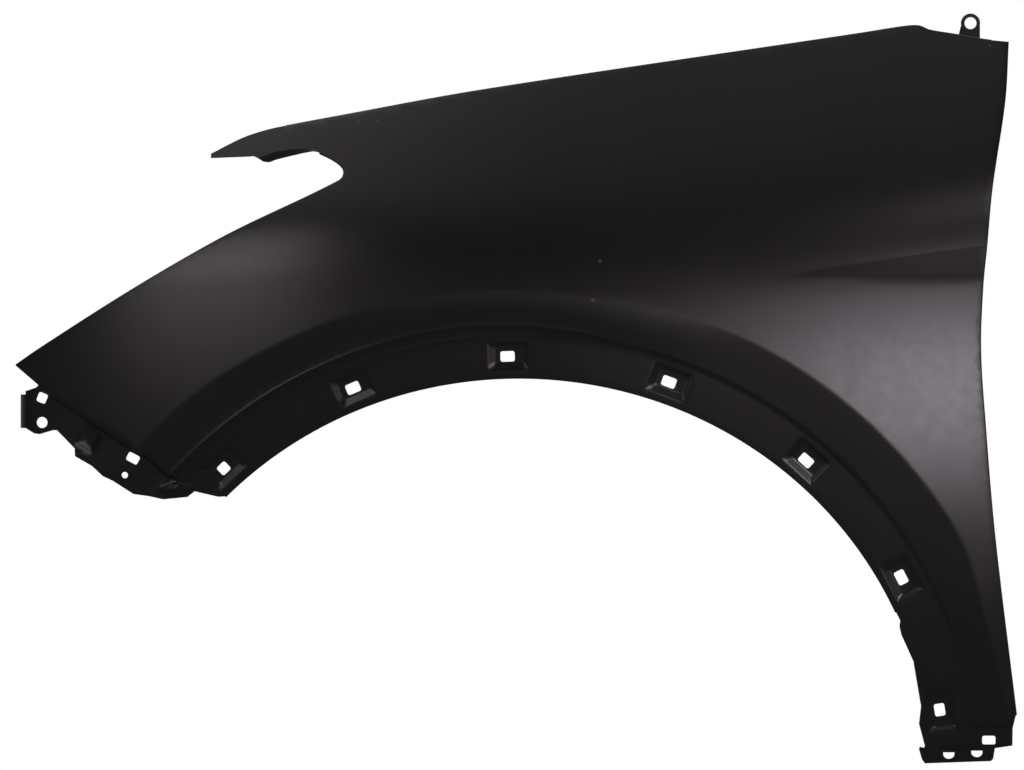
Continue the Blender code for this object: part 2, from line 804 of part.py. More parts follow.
def cylinder_cutter(name, diameter, place, direction, collection):
    """Round cutter, long enough to pass through a flange."""
    mesh = bpy.data.meshes.new(name)
    tool = bmesh.new()
    bmesh.ops.create_cone(
        tool,
        cap_ends=True,
        segments=20,
        radius1=diameter / 2.0,
        radius2=diameter / 2.0,
        depth=0.012,
    )
    turn = Vector((0.0, 0.0, 1.0)).rotation_difference(direction).to_matrix().to_4x4()
    bmesh.ops.transform(tool, matrix=Matrix.Translation(place) @ turn, verts=tool.verts)
    tool.to_mesh(mesh)
    tool.free()
    cutter = new_object(name, mesh, collection)
    cutter.display_type = "WIRE"
    cutter.hide_render = True
    return cutter


def ear_centre():
    """Centre of the ear's hole; its plate grows from the inboard edge of the shelf."""
    x, z = arch_point(*EAR_HOLE_PLACE)
    return Vector((x, shelf_point(x, HOOD_SHELF).y, z))


def ear_plate(collection):
    """Solid of the ear: a tapered plate with a round head, ready to join to the shelf."""
    head = EAR_HOLE_DIAMETER / 2.0 + EAR_RIM
    centre = ear_centre()
    mesh = bpy.data.meshes.new("ear_plate")
    plate = bmesh.new()
    outline = []
    for side in (-0.5, 0.5):
        foot = shelf_point(centre.x + side * EAR_FOOT_WIDTH, HOOD_SHELF)
        outline.append((foot.x, foot.z - SHEET_THICKNESS / 2.0))
    for i in range(13):
        angle = pi * i / 12.0
        outline.append((centre.x + head * cos(angle), centre.z + head * sin(angle)))
    ring = [plate.verts.new((x, centre.y - SHEET_THICKNESS, z)) for x, z in outline]
    face = plate.faces.new(ring)
    made = bmesh.ops.extrude_face_region(plate, geom=[face])["geom"]
    moved = [g for g in made if isinstance(g, bmesh.types.BMVert)]
    bmesh.ops.translate(plate, verts=moved, vec=INBOARD * SHEET_THICKNESS)
    bmesh.ops.recalc_face_normals(plate, faces=plate.faces)
    plate.to_mesh(mesh)
    plate.free()
    tool = new_object("ear_plate", mesh, collection)
    tool.display_type = "WIRE"
    tool.hide_render = True
    return tool


def add_boolean(item, name, operation, tool):
    step = item.modifiers.new(name, "BOOLEAN")
    step.operation = operation
    step.solver = "EXACT"
    step.object = tool


def build_panel(collection, tools):
    """The pressed, flanged and pierced panel."""
    verts, faces, runs = lay_out_sheet()
    panel = press(verts, faces)
    turn_flanges(panel, runs)
    bmesh.ops.recalc_face_normals(panel, faces=panel.faces)
    if sum(f.normal.y * f.calc_area() for f in panel.faces) > 0.0:
        bmesh.ops.reverse_faces(panel, faces=panel.faces)
    for edge in panel.edges:
        edge.smooth = not (edge.is_boundary or edge.calc_face_angle() > FOLD_ANGLE)
    for face in panel.faces:
        face.smooth = True
    mesh = bpy.data.meshes.new("fender_panel")
    panel.to_mesh(mesh)
    panel.free()
    item = new_object("fender_panel", mesh, collection)
    item.data.materials.append(panel_material())
    gauge = item.modifiers.new("sheet_gauge", "SOLIDIFY")
    gauge.thickness = SHEET_THICKNESS
    gauge.offset = -1.0
    gauge.use_even_offset = True
    add_boolean(item, "join_ear", "UNION", ear_plate(tools))
    cutter = cylinder_cutter("ear_hole_cutter", EAR_HOLE_DIAMETER, ear_centre(), INBOARD, tools)
    add_boolean(item, "pierce_ear", "DIFFERENCE", cutter)
    for i, x in enumerate(SHELF_HOLES_X):
        place = shelf_point(x, SHELF_HOLE_INBOARD)
        name = f"shelf_hole_cutter_{i + 1}"
        cutter = cylinder_cutter(name, SHELF_HOLE_DIAMETER, place, hood_edge_up(x), tools)
        add_boolean(item, f"pierce_shelf_{i + 1}", "DIFFERENCE", cutter)
    return item


def main():
    for item in list(bpy.data.objects):
        bpy.data.objects.remove(item)
    parts = bpy.data.collections.new("car_fender")
    tools = bpy.data.collections.new("cutters")
    bpy.context.scene.collection.children.link(parts)
    bpy.context.scene.collection.children.link(tools)
    datum = bpy.data.objects.new("shelf_seat_datum", None)
    parts.objects.link(datum)
    datum.location = -shelf_point(SHELF_SEAT_X, SHELF_HOLE_INBOARD)
    panel = build_panel(parts, tools)
    panel.parent = datum
    for tool in tools.objects:
        tool.parent = datum


main()
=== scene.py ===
"""Front fender panel of a car, in satin black electrocoat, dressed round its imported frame.

The panel is pressed from one flat layout, as in its CAD source but with rounded folds and a
fine sheet: x runs rearwards and z runs up from the wheel centre, and y runs inboard.
"""

from math import atan2, cos, degrees, hypot, pi, radians, sin
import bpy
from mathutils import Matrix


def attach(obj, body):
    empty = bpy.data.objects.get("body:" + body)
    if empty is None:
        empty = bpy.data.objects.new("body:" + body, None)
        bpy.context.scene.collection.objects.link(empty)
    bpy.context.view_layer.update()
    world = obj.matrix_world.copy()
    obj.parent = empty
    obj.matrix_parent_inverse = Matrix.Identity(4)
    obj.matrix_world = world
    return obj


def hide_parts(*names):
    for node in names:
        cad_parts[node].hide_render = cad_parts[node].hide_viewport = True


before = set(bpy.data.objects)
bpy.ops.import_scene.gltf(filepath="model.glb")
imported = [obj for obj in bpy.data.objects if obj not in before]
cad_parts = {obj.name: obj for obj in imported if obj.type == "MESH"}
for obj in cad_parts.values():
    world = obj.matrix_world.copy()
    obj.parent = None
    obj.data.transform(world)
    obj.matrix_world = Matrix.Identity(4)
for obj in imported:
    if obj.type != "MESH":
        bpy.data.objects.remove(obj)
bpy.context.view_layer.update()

from types import SimpleNamespace

import bmesh
import bpy
import numpy as np
from mathutils import Euler, Matrix, Vector
from mathutils.geometry import delaunay_2d_cdt, interpolate_bezier, intersect_point_line

bl_info = {
    "name": "Car Fender Panel",
    "version": (1, 0, 0),
    "blender": (4, 5, 0),
    "location": "View3D > Sidebar > Fender",
    "description": "Builds a front fender panel, its finish and its studio",
    "category": "Add Mesh",
}

PANEL_NODE = "fender_panel"
COAT_NAME = "satin_electrocoat"
INBOARD = Vector((0.0, 1.0, 0.0))

# Angles round the arch between which its bands change
STEP_WIDENS = (72.0, 100.0)
STEP_DEEPENS = (60.0, 110.0)
STEP_FADES = (40.0, 12.0)
BAND_WIDENS = (112.0, 136.0)
BAND_NARROWS = (30.0, 14.0)
BAND_FADES = (152.0, 139.0)
BAND_SOFTENS_REAR = (60.0, 80.0)
BAND_SOFTENS_FRONT = (112.0, 98.0)
BAND_ENDS = (141.0, 1.0)

# Places along x between which the skin's crest lifts towards the nose
CREST_LIFTS = (0.10, -0.25)

# Clip slots: angle round the arch, distance of the slot out from its edge, slot length
CLIP_HOLES = [
    (134.0, 0.0215, 0.0112),
    (113.3, 0.0215, 0.0144),
    (91.7, 0.0215, 0.0144),
    (69.3, 0.0215, 0.0144),
    (47.8, 0.0215, 0.0144),
    (27.5, 0.0205, 0.0144),
    (8.9, 0.0128, 0.0126),
]

# Edges of the panel as places round the arch: angle, and distance out from the arch edge
HOOD_EDGE = [
    (116.45, 0.2943),
    (113.64, 0.2960),
    (111.90, 0.2951),
    (110.22, 0.2927),
    (104.97, 0.2858),
    (93.33, 0.2896),
    (65.43, 0.4174),
    (62.74, 0.4440),
    (61.91, 0.4505),
    (61.28, 0.4510),
    (59.56, 0.4599),
    (57.62, 0.4710),
    (56.39, 0.4803),
]
DOOR_EDGE = [
    (56.39, 0.4803),
    (54.38, 0.4294),
    (51.30, 0.3505),
    (48.68, 0.3016),
    (46.71, 0.2692),
    (42.85, 0.2215),
    (37.13, 0.1755),
    (26.90, 0.1221),
    (6.95, 0.0873),
]
FOOT_EDGE = [
    (6.95, 0.0873),
    (5.50, 0.0827),
    (3.48, 0.0810),
    (3.29, 0.0634),
    (2.00, 0.0610),
    (1.74, 0.0588),
    (1.71, -0.0103),
]
FOOT_FRONT_EDGE = [
    (1.7, -0.0073),
    (2.3, -0.0101),
    (3.8, -0.0125),
    (4.1, -0.0114),
    (3.9, -0.0074),
    (4.2, -0.0064),
    (7.4, -0.0098),
    (9.8, -0.0050),
    (16.2, -0.0016),
    (20.3, -0.0040),
    (21.5, -0.0026),
    (22.2, 0.0004),
]
BUMPER_EDGE = [
    (137.3, 0.0046),
    (138.9, 0.0255),
    (140.1, 0.0271),
    (142.3, 0.0439),
    (143.1, 0.0574),
    (144.0, 0.0708),
    (144.17, 0.0954),
    (144.40, 0.1061),
    (144.20, 0.1207),
    (144.41, 0.1406),
    (143.77, 0.1457),
    (143.36, 0.1708),
    (143.58, 0.1740),
]
TAB_EDGE = [
    (144.70, 0.1826),
    (144.93, 0.1874),
    (144.99, 0.1976),
    (142.46, 0.2181),
    (142.21, 0.2203),
    (141.34, 0.2142),
    (140.97, 0.2141),
]
NOSE_CORNER = (140.91, 0.2443)
HEADLAMP_EDGE = [
    (140.91, 0.2443),
    (138.38, 0.2371),
    (130.32, 0.2203),
    (123.04, 0.2140),
    (117.53, 0.2136),
    (106.85, 0.2230),
    (106.26, 0.2290),
    (106.30, 0.2365),
    (106.89, 0.2457),
    (107.81, 0.2555),
]
BEAK_EDGE = [
    (107.81, 0.2555),
    (108.27, 0.2603),
    (109.65, 0.2661),
    (111.50, 0.2707),
    (112.58, 0.2711),
    (113.32, 0.2748),
    (116.60, 0.2907),
]
JOGGLE_LINE = [
    (141.21, 0.2723),
    (141.12, 0.2128),
    (140.73, 0.1762),
    (140.36, 0.1380),
    (139.91, 0.1050),
    (139.45, 0.0850),
    (139.58, 0.0616),
    (138.54, 0.0400),
]

# Steps across the foot: height, start rearwards of the arch radius, fade and depth
FOOT_STEPS = [
    (0.0520, 0.0418, 0.015, 0.0025),
    (0.0305, 0.0198, 0.010, 0.0030),
]

# Holes in the front flange and foot: place, then length, width and turn, or diameter
SQUARE_HOLES = [
    ((141.76, 0.2030), 0.0100, 0.0100, -22.0),
    ((140.71, 0.0939), 0.0128, 0.0092, -28.0),
    ((4.31, 0.0578), 0.0134, 0.0090, 0.0),
]
ROUND_HOLES = [((143.63, 0.1876), 0.0112), ((142.82, 0.0893), 0.0065)]
SILL_HOLES = [(2.64, 0.0170), (2.69, 0.0451)]
SHELF_HOLES_X = [-0.170, 0.010, 0.175, 0.325]
EAR_HOLE_PLACE = (59.06, 0.4774)
CREASE_REAR_PLACE = (48.62, 0.3022)
BEAD_PLACE = (140.28, 0.0417)
POCKET_PLACE = (142.03, 0.1407)

# Fine ridges along the step: angles where they start and end, reach and height
RIDGE_STARTS = (58.0, 100.0)
RIDGE_ENDS = (146.0, 138.0)
RIDGE_REACH = 0.0032
RIDGE_HEIGHT = 0.0008

# Rounding of the folds, each side of the fold line
BAND_FOLD = 0.0025
STEP_FOLD = 0.0014
PAD_FOLD = 0.0010
JOGGLE_FOLD = 0.0011
CREASE_FOLD = 0.0022
LEDGE_FOLD = 0.0060

# Raised bead and sunk pocket on the bumper flange
BEAD_LENGTH = 0.033
BEAD_WIDTH = 0.013
BEAD_TURN = 4.0
BEAD_HEIGHT = 0.004
POCKET_LENGTH = 0.021
POCKET_WIDTH = 0.023
POCKET_TURN = -28.0
POCKET_WALL = 0.003
POCKET_DEPTH = 0.002

# Ends of the lip under the beak and of the hood flange, along x
BEAK_LIP = (-0.268, -0.252, -0.200)
HOOD_FLANGE_FRONT = -0.235
HOOD_TAPER = 0.055
HOOD_TAPER_LEAST = 0.3
SHELF_BEYOND_EAR = 0.009

# Rounding of the slots, and how finely holes, rims and the shelf are divided
HOLE_CORNER = 0.0022
PAD_CORNER = 0.0012
POCKET_CORNER = 0.001
RING_STEP = 0.003
HOLE_SIDES = 28
SHELF_HOLE_SIDES = 32
SHELF_CUTTER_DEPTH = 0.012
RIM_SEGMENTS = 4
SHELF_ROWS = 8

# Share of a grid cell that the open skin's points keep clear of the laid out lines
GRID_CLEARANCE = 0.42
# How near a rim edge lies to its run, and how far away a stretch of the run is passed over
RIM_NEAR = 2e-5
RIM_FAR = 0.02

# The ear's bend, and its round head from one side to the other, in degrees
EAR_BEND = 0.0025
EAR_HEAD_START = -12.0
EAR_HEAD_SWEEP = 204.0
EAR_HEAD_STEPS = 20


def length(name, value, text):
    """A size that a user can change, in metres."""
    return bpy.props.FloatProperty(
        name=name, description=text, default=value, min=0.0, precision=5, unit="LENGTH"
    )


def plain(name, value, text):
    """A plain number that a user can change."""
    return bpy.props.FloatProperty(name=name, description=text, default=value, precision=4)


def colour(name, value, text):
    """A colour that a user can change."""
    return bpy.props.FloatVectorProperty(
        name=name, description=text, default=value, size=4, subtype="COLOR", min=0.0, max=1.0
    )


class FenderSizes(bpy.types.PropertyGroup):
    """Sizes of the pressed panel."""

    gauge: length("Gauge", 0.0008, "Thickness of the sheet")
    bend_radius: length("Bend radius", 0.0012, "Radius of the bend at a flanged rim")
    arch_radius: length("Arch radius", 0.3982, "Radius of the wheel arch edge at its crown")
    arch_swell: length("Arch swell", 0.0148, "How much wider the arch is at its ends")
    arch_crown: plain("Arch crown", 88.0, "Angle of the arch's crown, in degrees")
    arch_front: plain("Arch front", 136.6, "Angle of the arch's front end, in degrees")
    arch_rear: plain("Arch rear", 23.5, "Angle of the arch's rear end, in degrees")
    arch_lip: length("Arch lip", 0.012, "Lip turned inboard round the arch")
    clip_flange: length("Clip flange", 0.0425, "Width of the band that carries the clips")
    step_front: length("Step, front", 0.012, "Width of the step above the clip flange, front")
    step_rear: length("Step, rear", 0.004, "Width of the step above the clip flange, rear")
    band_top: length("Band top", 0.0912, "Distance of the band's crease from the edge")
    band_gain: length("Band gain", 0.0061, "Extra width of the band at the front")
    band_loss: length("Band loss", 0.0137, "Width that the band loses at the foot")
    band_drop: length("Band drop", 0.008, "How far the band sinks inboard")
    flange_recess: length("Flange recess", 0.005, "Depth of the clip flange at the front")
    rear_recess: length("Rear recess", 0.003, "Depth of the clip flange at the rear")
    foot_recess: plain("Foot recess share", 0.4, "Share of that depth left at the foot")
    flange_lean: plain("Flange lean", 0.14, "Slope of the clip flange, inboard to its edge")
    clip_width: length("Clip slot width", 0.0106, "Width of a clip slot")
    pad_length: length("Pad length", 0.040, "Length of a sunk clip pad")
    pad_width: length("Pad width", 0.029, "Width of a sunk clip pad")
    pad_wall: length("Pad wall", 0.0030, "Width of a clip pad's steep walls")
    pad_slope: length("Pad slope", 0.0075, "Width of its walls towards the nose and the wheel")
    pad_depth: length("Pad depth", 0.003, "Depth to which a clip pad is sunk")
    nose_sweep: length("Nose sweep", 0.160, "How far the nose sweeps inboard")
    sweep_start: length("Sweep start", 0.130, "Where the nose sweep starts")
    sweep_length: length("Sweep length", 0.636, "Length of the nose sweep")
    sweep_power: plain("Sweep power", 2.5, "How late the nose sweep bends")
    shoulder: length("Shoulder", 0.458, "Height of the widest line of the skin")
    shoulder_slope: plain("Shoulder slope", 0.056, "Rise of that line rearwards")
    crest_lift: plain("Crest lift", 0.25, "Share of the height to the hood that it lifts at the nose")
    hood: length("Hood line", 0.692, "Height of the hood line above the wheel centre")
    hood_slope: plain("Hood slope", 0.150, "Rise of the hood line rearwards")
    roll: plain("Roll", 0.42, "How far the skin rolls inboard to the hood line")
    roll_power: plain("Roll power", 2.3, "How late that roll bends")
    tuck: length("Tuck", 0.055, "How far the skin tucks in below the shoulder")
    tuck_height: length("Tuck height", 0.460, "Height over which it tucks in")
    tuck_power: plain("Tuck power", 2.0, "How late the tuck bends")
    crease_slope: plain("Crease slope", 0.140, "Rise of the body line rearwards")
    crease_length: length("Crease length", 0.227, "Length over which the body line fades")
    crease_depth: length("Crease depth", 0.0034, "Depth of the body line at the door")
    crease_reach: length("Crease reach", 0.085, "Height of the hollow above the body line")
    ledge: length("Ledge", 0.031, "Height of the ledge below the body line")
    ledge_least: plain("Least ledge share", 0.2, "Share of the ledge left where it fades")
    joggle_drop: length("Joggle drop", 0.0035, "Height of the joggle to the bumper flange")
    foot_drop: length("Foot step drop", 0.004, "Height of each step across the foot")
    door_flange: length("Door flange", 0.014, "Flange turned inboard at the door edge")
    headlamp_flange: length("Headlamp flange", 0.016, "Flange turned in at the headlamp")
    nose_hem: length("Nose hem", 0.005, "Hem turned in at the nose")
    tab_lip_out: length("Tab lip, out", 0.005, "How far the tab's lip stands forwards")
    tab_lip_in: length("Tab lip, in", 0.009, "How far the tab's lip turns inboard")
    beak_lip_in: length("Beak lip, in", 0.012, "Most depth of the lip under the beak")
    beak_lip_least: length("Beak lip, least", 0.003, "Least depth of the lip under the beak")
    beak_lip_drop: length("Beak lip drop", 0.008, "How far the lip under the beak hangs")
    hood_wall: length("Hood wall", 0.023, "Height of the wall at the hood edge")
    hood_lean: length("Hood wall lean", 0.004, "How far that wall leans inboard")
    hood_shelf: length("Hood shelf", 0.028, "Width of the shelf at the hood edge")
    shelf_hole: length("Shelf hole", 0.009, "Diameter of a bolt hole in the shelf")
    shelf_hole_in: length("Shelf hole place", 0.0154, "Distance of a hole from the wall")
    shelf_seat: length("Shelf seat", 0.250, "Place along the shelf of the frame's origin")
    ear_hole: length("Ear hole", 0.012, "Diameter of the hole in the ear")
    ear_rim: length("Ear rim", 0.0037, "Width of metal round the ear's hole")
    ear_foot: length("Ear foot", 0.026, "Width of the ear at the shelf")
    line_step: length("Line step", 0.005, "Spacing of points along edges and folds")
    grid_step: length("Grid step", 0.0075, "Spacing of points over the open skin")


class FenderFinish(bpy.types.PropertyGroup):
    """Colours and gloss of the electrocoat."""

    coat: colour("Coat", (0.0048, 0.0046, 0.0047, 1.0), "Colour of the electrocoat")
    haze: colour("Haze", (0.0064, 0.0061, 0.0063, 1.0), "Colour of the thin haze over it")
    roughness: plain("Roughness", 0.29, "Roughness of the coat")
    mottle: plain("Mottle", 0.03, "How much the roughness varies")
    peel_size: plain("Peel scale", 420.0, "Scale of the orange peel")
    peel_depth: plain("Peel depth", 0.035, "Strength of the orange peel")
    dust: colour("Nibs", (0.060, 0.058, 0.058, 1.0), "Colour of paint nibs and rub marks")
    smear: plain("Smears", 0.03, "Roughness that handling smears add")


class FenderStudio(bpy.types.PropertyGroup):
    """Camera, lamps and floor."""

    distance: length("Distance", 35.0, "Distance of the camera from the panel")
    view_width: length("View width", 1.024, "Width of the view at the panel")
    low_power: plain("Low lamp", 0.50, "Power of the near lamp at the rear half")
    side_power: plain("Side lamp", 0.90, "Power of the near lamp beside the nose")
    high_power: plain("High lamp", 0.10, "Power of the near lamp over the rear half")
    fill_power: plain("Fill lamp", 300.0, "Power of the soft fill from the front")
    floor_height: plain("Floor height", -0.80, "Height of the floor")


def read(group):
    """The values of a group of settings, for quick use."""
    return SimpleNamespace(**{name: getattr(group, name) for name in group.__annotations__})


def blend(value, start, end):
    """Smooth step from 0 at start to 1 at end, in either direction."""
    t = min(1.0, max(0.0, (value - start) / (end - start)))
    return t * t * (3.0 - 2.0 * t)


def past(value, fold):
    """Distance past a fold line, rounded over the fold's width on both sides."""
    if value <= -fold:
        return 0.0
    if value >= fold:
        return value
    return (value + fold) ** 2 / (4.0 * fold)


def ramp(value, run, fold):
    """Rise from 0 to 1 over a run, with both corners rounded."""
    return (past(value, fold) - past(value - run, fold)) / run


def smooth_line(points, step):
    """Points along one smooth curve through the given points."""
    knots = [Vector(p) for p in points]
    line = [knots[0]]
    for i in range(len(knots) - 1):
        start, end = knots[i], knots[i + 1]
        before = knots[max(i - 1, 0)]
        after = knots[min(i + 2, len(knots) - 1)]
        reach = (end - start).length / 3.0
        first = start + (end - before).normalized() * reach
        second = end - (after - start).normalized() * reach
        count = max(1, round((end - start).length / step)) + 1
        line += interpolate_bezier(start, first, second, end, count)[1:]
    return [tuple(p) for p in line]


def divided(points, step):
    """The same broken line with points added along its long stretches."""
    line = [points[0]]
    for (x0, z0), (x1, z1) in zip(points, points[1:]):
        count = max(1, round(hypot(x1 - x0, z1 - z0) / step))
        for i in range(1, count + 1):
            line.append((x0 + (x1 - x0) * i / count, z0 + (z1 - z0) * i / count))
    return line


def height_on(line, x):
    """Height of a line of points at one x, its end heights beyond it."""
    if x <= line[0][0]:
        return line[0][1]
    for (x0, z0), (x1, z1) in zip(line, line[1:]):
        if x <= x1:
            return z0 + (z1 - z0) * (x - x0) / (x1 - x0)
    return line[-1][1]


class Pressing:
    """The form of the panel: places round the arch, and one depth rule for the skin."""

    def __init__(self, sizes):
        self.s = sizes
        self.joggle = self.line(JOGGLE_LINE)
        self.crease_rear = self.point(*CREASE_REAR_PLACE)
        self.bead = self.point(*BEAD_PLACE)
        self.pocket = self.point(*POCKET_PLACE)
        self.pads = [(self.point(angle, out), angle - 90.0) for angle, out, _ in CLIP_HOLES]
        self.hood_line = smooth_line(self.line(HOOD_EDGE), sizes.line_step)

    def edge_radius(self, angle):
        return self.s.arch_radius + self.s.arch_swell * sin(radians(angle - self.s.arch_crown)) ** 2

    def point(self, angle, offset):
        radius = self.edge_radius(angle) + offset
        return (radius * cos(radians(angle)), radius * sin(radians(angle)))

    def line(self, places):
        return [self.point(angle, offset) for angle, offset in places]

    def step_top(self, angle):
        """Distance from the arch edge to the top of the step behind the band."""
        s = self.s
        width = s.step_rear + (s.step_front - s.step_rear) * blend(angle, *STEP_WIDENS)
        return s.clip_flange + width

    def band_top(self, angle):
        """Distance from the arch edge to the crease where the band leaves the skin."""
        s = self.s
        gain = s.band_gain * blend(angle, *BAND_WIDENS)
        return s.band_top + gain - s.band_loss * blend(angle, *BAND_NARROWS)

    def band(self, angle, out):
        """Depth to which the band round the arch sinks; its crease is soft at the crown."""
        top, foot = self.band_top(angle), self.step_top(angle)
        fade = blend(angle, *BAND_FADES)
        soft = blend(angle, *BAND_SOFTENS_REAR) * blend(angle, *BAND_SOFTENS_FRONT)
        share = ramp(top - out, top - foot, BAND_FOLD)
        return self.s.band_drop * fade * max(0.0, share) ** (1.0 + soft)

    def step(self, angle, out):
        """Depth of the step from the band back to the clip flange, which leans inboard."""
        s, top = self.s, self.step_top(angle)
        depth = s.rear_recess + (s.flange_recess - s.rear_recess) * blend(angle, *STEP_DEEPENS)
        depth *= 1.0 - (1.0 - s.foot_recess) * blend(angle, *STEP_FADES)
        lean = s.flange_lean * past(s.clip_flange - out, STEP_FOLD)
        return depth * ramp(top - out, top - s.clip_flange, STEP_FOLD) + lean

    def ridges(self, angle, out):
        """Height of the two fine ridges that edge the step, which fade past the crown."""
        fade = blend(angle, *RIDGE_STARTS) * blend(angle, *RIDGE_ENDS)
        if fade <= 0.0:
            return 0.0
        height = 0.0
        for edge in (self.step_top(angle), self.s.clip_flange):
            share = max(0.0, 1.0 - ((out - edge) / RIDGE_REACH) ** 2)
            height += RIDGE_HEIGHT * fade * share * share
        return height

    def skin(self, x, z):
        """Depth of the smooth skin: nose sweep, roll to the hood and tuck to the sill."""
        s = self.s
        sweep = s.nose_sweep * max(0.0, (s.sweep_start - x) / s.sweep_length) ** s.sweep_power
        shoulder = s.shoulder + s.shoulder_slope * x
        room = s.hood + s.hood_slope * x - shoulder
        lift = s.crest_lift * room * blend(x, *CREST_LIFTS)
        crest = shoulder + lift
        roll = s.roll * room * max(0.0, (z - crest) / (room - lift)) ** s.roll_power
        tuck = s.tuck * max(0.0, (crest - z) / s.tuck_height) ** s.tuck_power
        return sweep + roll + tuck

    def crease_height(self, x):
        rear_x, rear_z = self.crease_rear
        return rear_z - self.s.crease_slope * (rear_x - x)

    def crease_strength(self, x):
        return blend(x, self.crease_rear[0] - self.s.crease_length, self.crease_rear[0])

    def ledge_height(self, x):
        return self.s.ledge * max(self.crease_strength(x), self.s.ledge_least)

    def body_line(self, x, z):
        """Depth of the valley of the body line, with the ledge that rises below it."""
        depth = self.s.crease_depth * self.crease_strength(x)
        if depth == 0.0:
            return 0.0
        above = z - self.crease_height(x)
        ledge = self.ledge_height(x)
        upper = (1.0 - min(1.0, max(0.0, above) / self.s.crease_reach)) ** 2
        lower = 1.0 - past(-above, CREASE_FOLD) / ledge
        lower += past(-above - ledge, min(LEDGE_FOLD, ledge * 0.4)) / ledge
        share = blend(above, -CREASE_FOLD, CREASE_FOLD)
        return depth * (upper * share + lower * (1.0 - share))

    def joggle_recess(self, x, z):
        """Depth of the joggle from the skin back to the bumper flange."""
        if x > self.joggle[-1][0]:
            return 0.0
        below = height_on(self.joggle, x) - z
        return self.s.flange_recess * ramp(below, self.s.joggle_drop, JOGGLE_FOLD)

    def foot_recess(self, x, z):
        """Depth of the two steps across the foot."""
        depth = 0.0
        for height, start, fade, step in FOOT_STEPS:
            down = ramp(height - z, self.s.foot_drop, STEP_FOLD)
            depth += step * down * ramp(x - self.s.arch_radius - start, fade, STEP_FOLD)
        return depth

    def pads_and_beads(self, x, z):
        """Depth of the clip pads, the bead and the pocket; pads are sunk inboard."""
        s, depth = self.s, 0.0
        for centre, turn in self.pads:
            if hypot(x - centre[0], z - centre[1]) < s.pad_length:
                u, v = in_frame(x, z, centre, turn)
                share = pad_share(u, v, s.pad_length, s.pad_width, s.pad_slope, s.pad_wall)
                depth += s.pad_depth * share
        if hypot(x - self.bead[0], z - self.bead[1]) < BEAD_LENGTH:
            u, v = in_frame(x, z, self.bead, BEAD_TURN)
            share = max(0.0, 1.0 - (2.0 * u / BEAD_LENGTH) ** 2 - (2.0 * v / BEAD_WIDTH) ** 2)
            depth -= BEAD_HEIGHT * share
        if hypot(x - self.pocket[0], z - self.pocket[1]) < POCKET_WIDTH:
            u, v = in_frame(x, z, self.pocket, POCKET_TURN)
            share = pad_share(u, v, POCKET_LENGTH, POCKET_WIDTH, POCKET_WALL, POCKET_WALL)
            depth += POCKET_DEPTH * share
        return depth

    def depth(self, x, z):
        """Depth of the finished panel, inboard, at a point of the side elevation."""
        angle = degrees(atan2(z, x))
        out = hypot(x, z) - self.edge_radius(angle)
        recess = max(self.step(angle, out), self.joggle_recess(x, z)) + self.foot_recess(x, z)
        form = self.skin(x, z) + self.body_line(x, z) + recess + self.band(angle, out)
        return form + self.pads_and_beads(x, z) - self.ridges(angle, out)

    def slope(self, x, z, across):
        """Change of depth per metre out across a rim."""
        reach = 0.0005
        inner = self.depth(x - across.x * reach, z - across.z * reach)
        return (self.depth(x, z) - inner) / reach

    def hood_point(self, x):
        z = height_on(self.hood_line, x)
        return Vector((x, self.depth(x, z), z))

    def hood_up(self, x):
        """Direction square to the hood edge, upwards, in side elevation."""
        reach = 0.006
        along = self.hood_point(x + reach) - self.hood_point(x - reach)
        return Vector((-along.z, 0.0, along.x)).normalized()

    def shelf_point(self, x, across):
        """Point on the upper face of the shelf, a distance inboard from its wall."""
        s = self.s
        inboard = 2.0 * s.bend_radius + s.hood_lean + across
        return self.hood_point(x) - self.hood_up(x) * s.hood_wall + INBOARD * inboard

    def origin(self):
        """The frame's origin, on the shelf."""
        return self.shelf_point(self.s.shelf_seat, self.s.shelf_hole_in)

    def ear_centre(self):
        x, z = self.point(*EAR_HOLE_PLACE)
        return Vector((x, self.shelf_point(x, self.s.hood_shelf).y, z))


def in_frame(x, z, centre, turn):
    """A point in the frame of a feature that is turned in the side elevation."""
    dx, dz = x - centre[0], z - centre[1]
    c, s = cos(radians(turn)), sin(radians(turn))
    return dx * c + dz * s, dz * c - dx * s


def from_frame(u, v, centre, turn):
    """A point of a feature's own frame, in the side elevation."""
    c, s = cos(radians(turn)), sin(radians(turn))
    return (centre[0] + u * c - v * s, centre[1] + u * s + v * c)


def pad_share(u, v, along, across, low, high):
    """Share of a pad's depth at a point of its own frame, given its low and high walls."""
    half_along, half_across = along / 2.0, across / 2.0
    sides = (
        (half_along + u, low),
        (half_along - u, high),
        (half_across + v, low),
        (half_across - v, high),
    )
    return min(ramp(inside, wall, PAD_FOLD) for inside, wall in sides)


def rounded_rectangle(centre, along, across, turn, corner, segments=4):
    """Outline of a turned rectangle with round corners."""
    points = []
    for u, v, start in ((1, 1, 0.0), (-1, 1, 90.0), (-1, -1, 180.0), (1, -1, 270.0)):
        for i in range(segments + 1):
            angle = radians(start + 90.0 * i / segments)
            du = u * (along / 2.0 - corner) + corner * cos(angle)
            dv = v * (across / 2.0 - corner) + corner * sin(angle)
            points.append(from_frame(du, dv, centre, turn))
    return points


def ellipse(centre, along, across, turn, count):
    points = []
    for i in range(count):
        angle = 2.0 * pi * i / count
        point = (along / 2.0 * cos(angle), across / 2.0 * sin(angle))
        points.append(from_frame(*point, centre, turn))
    return points


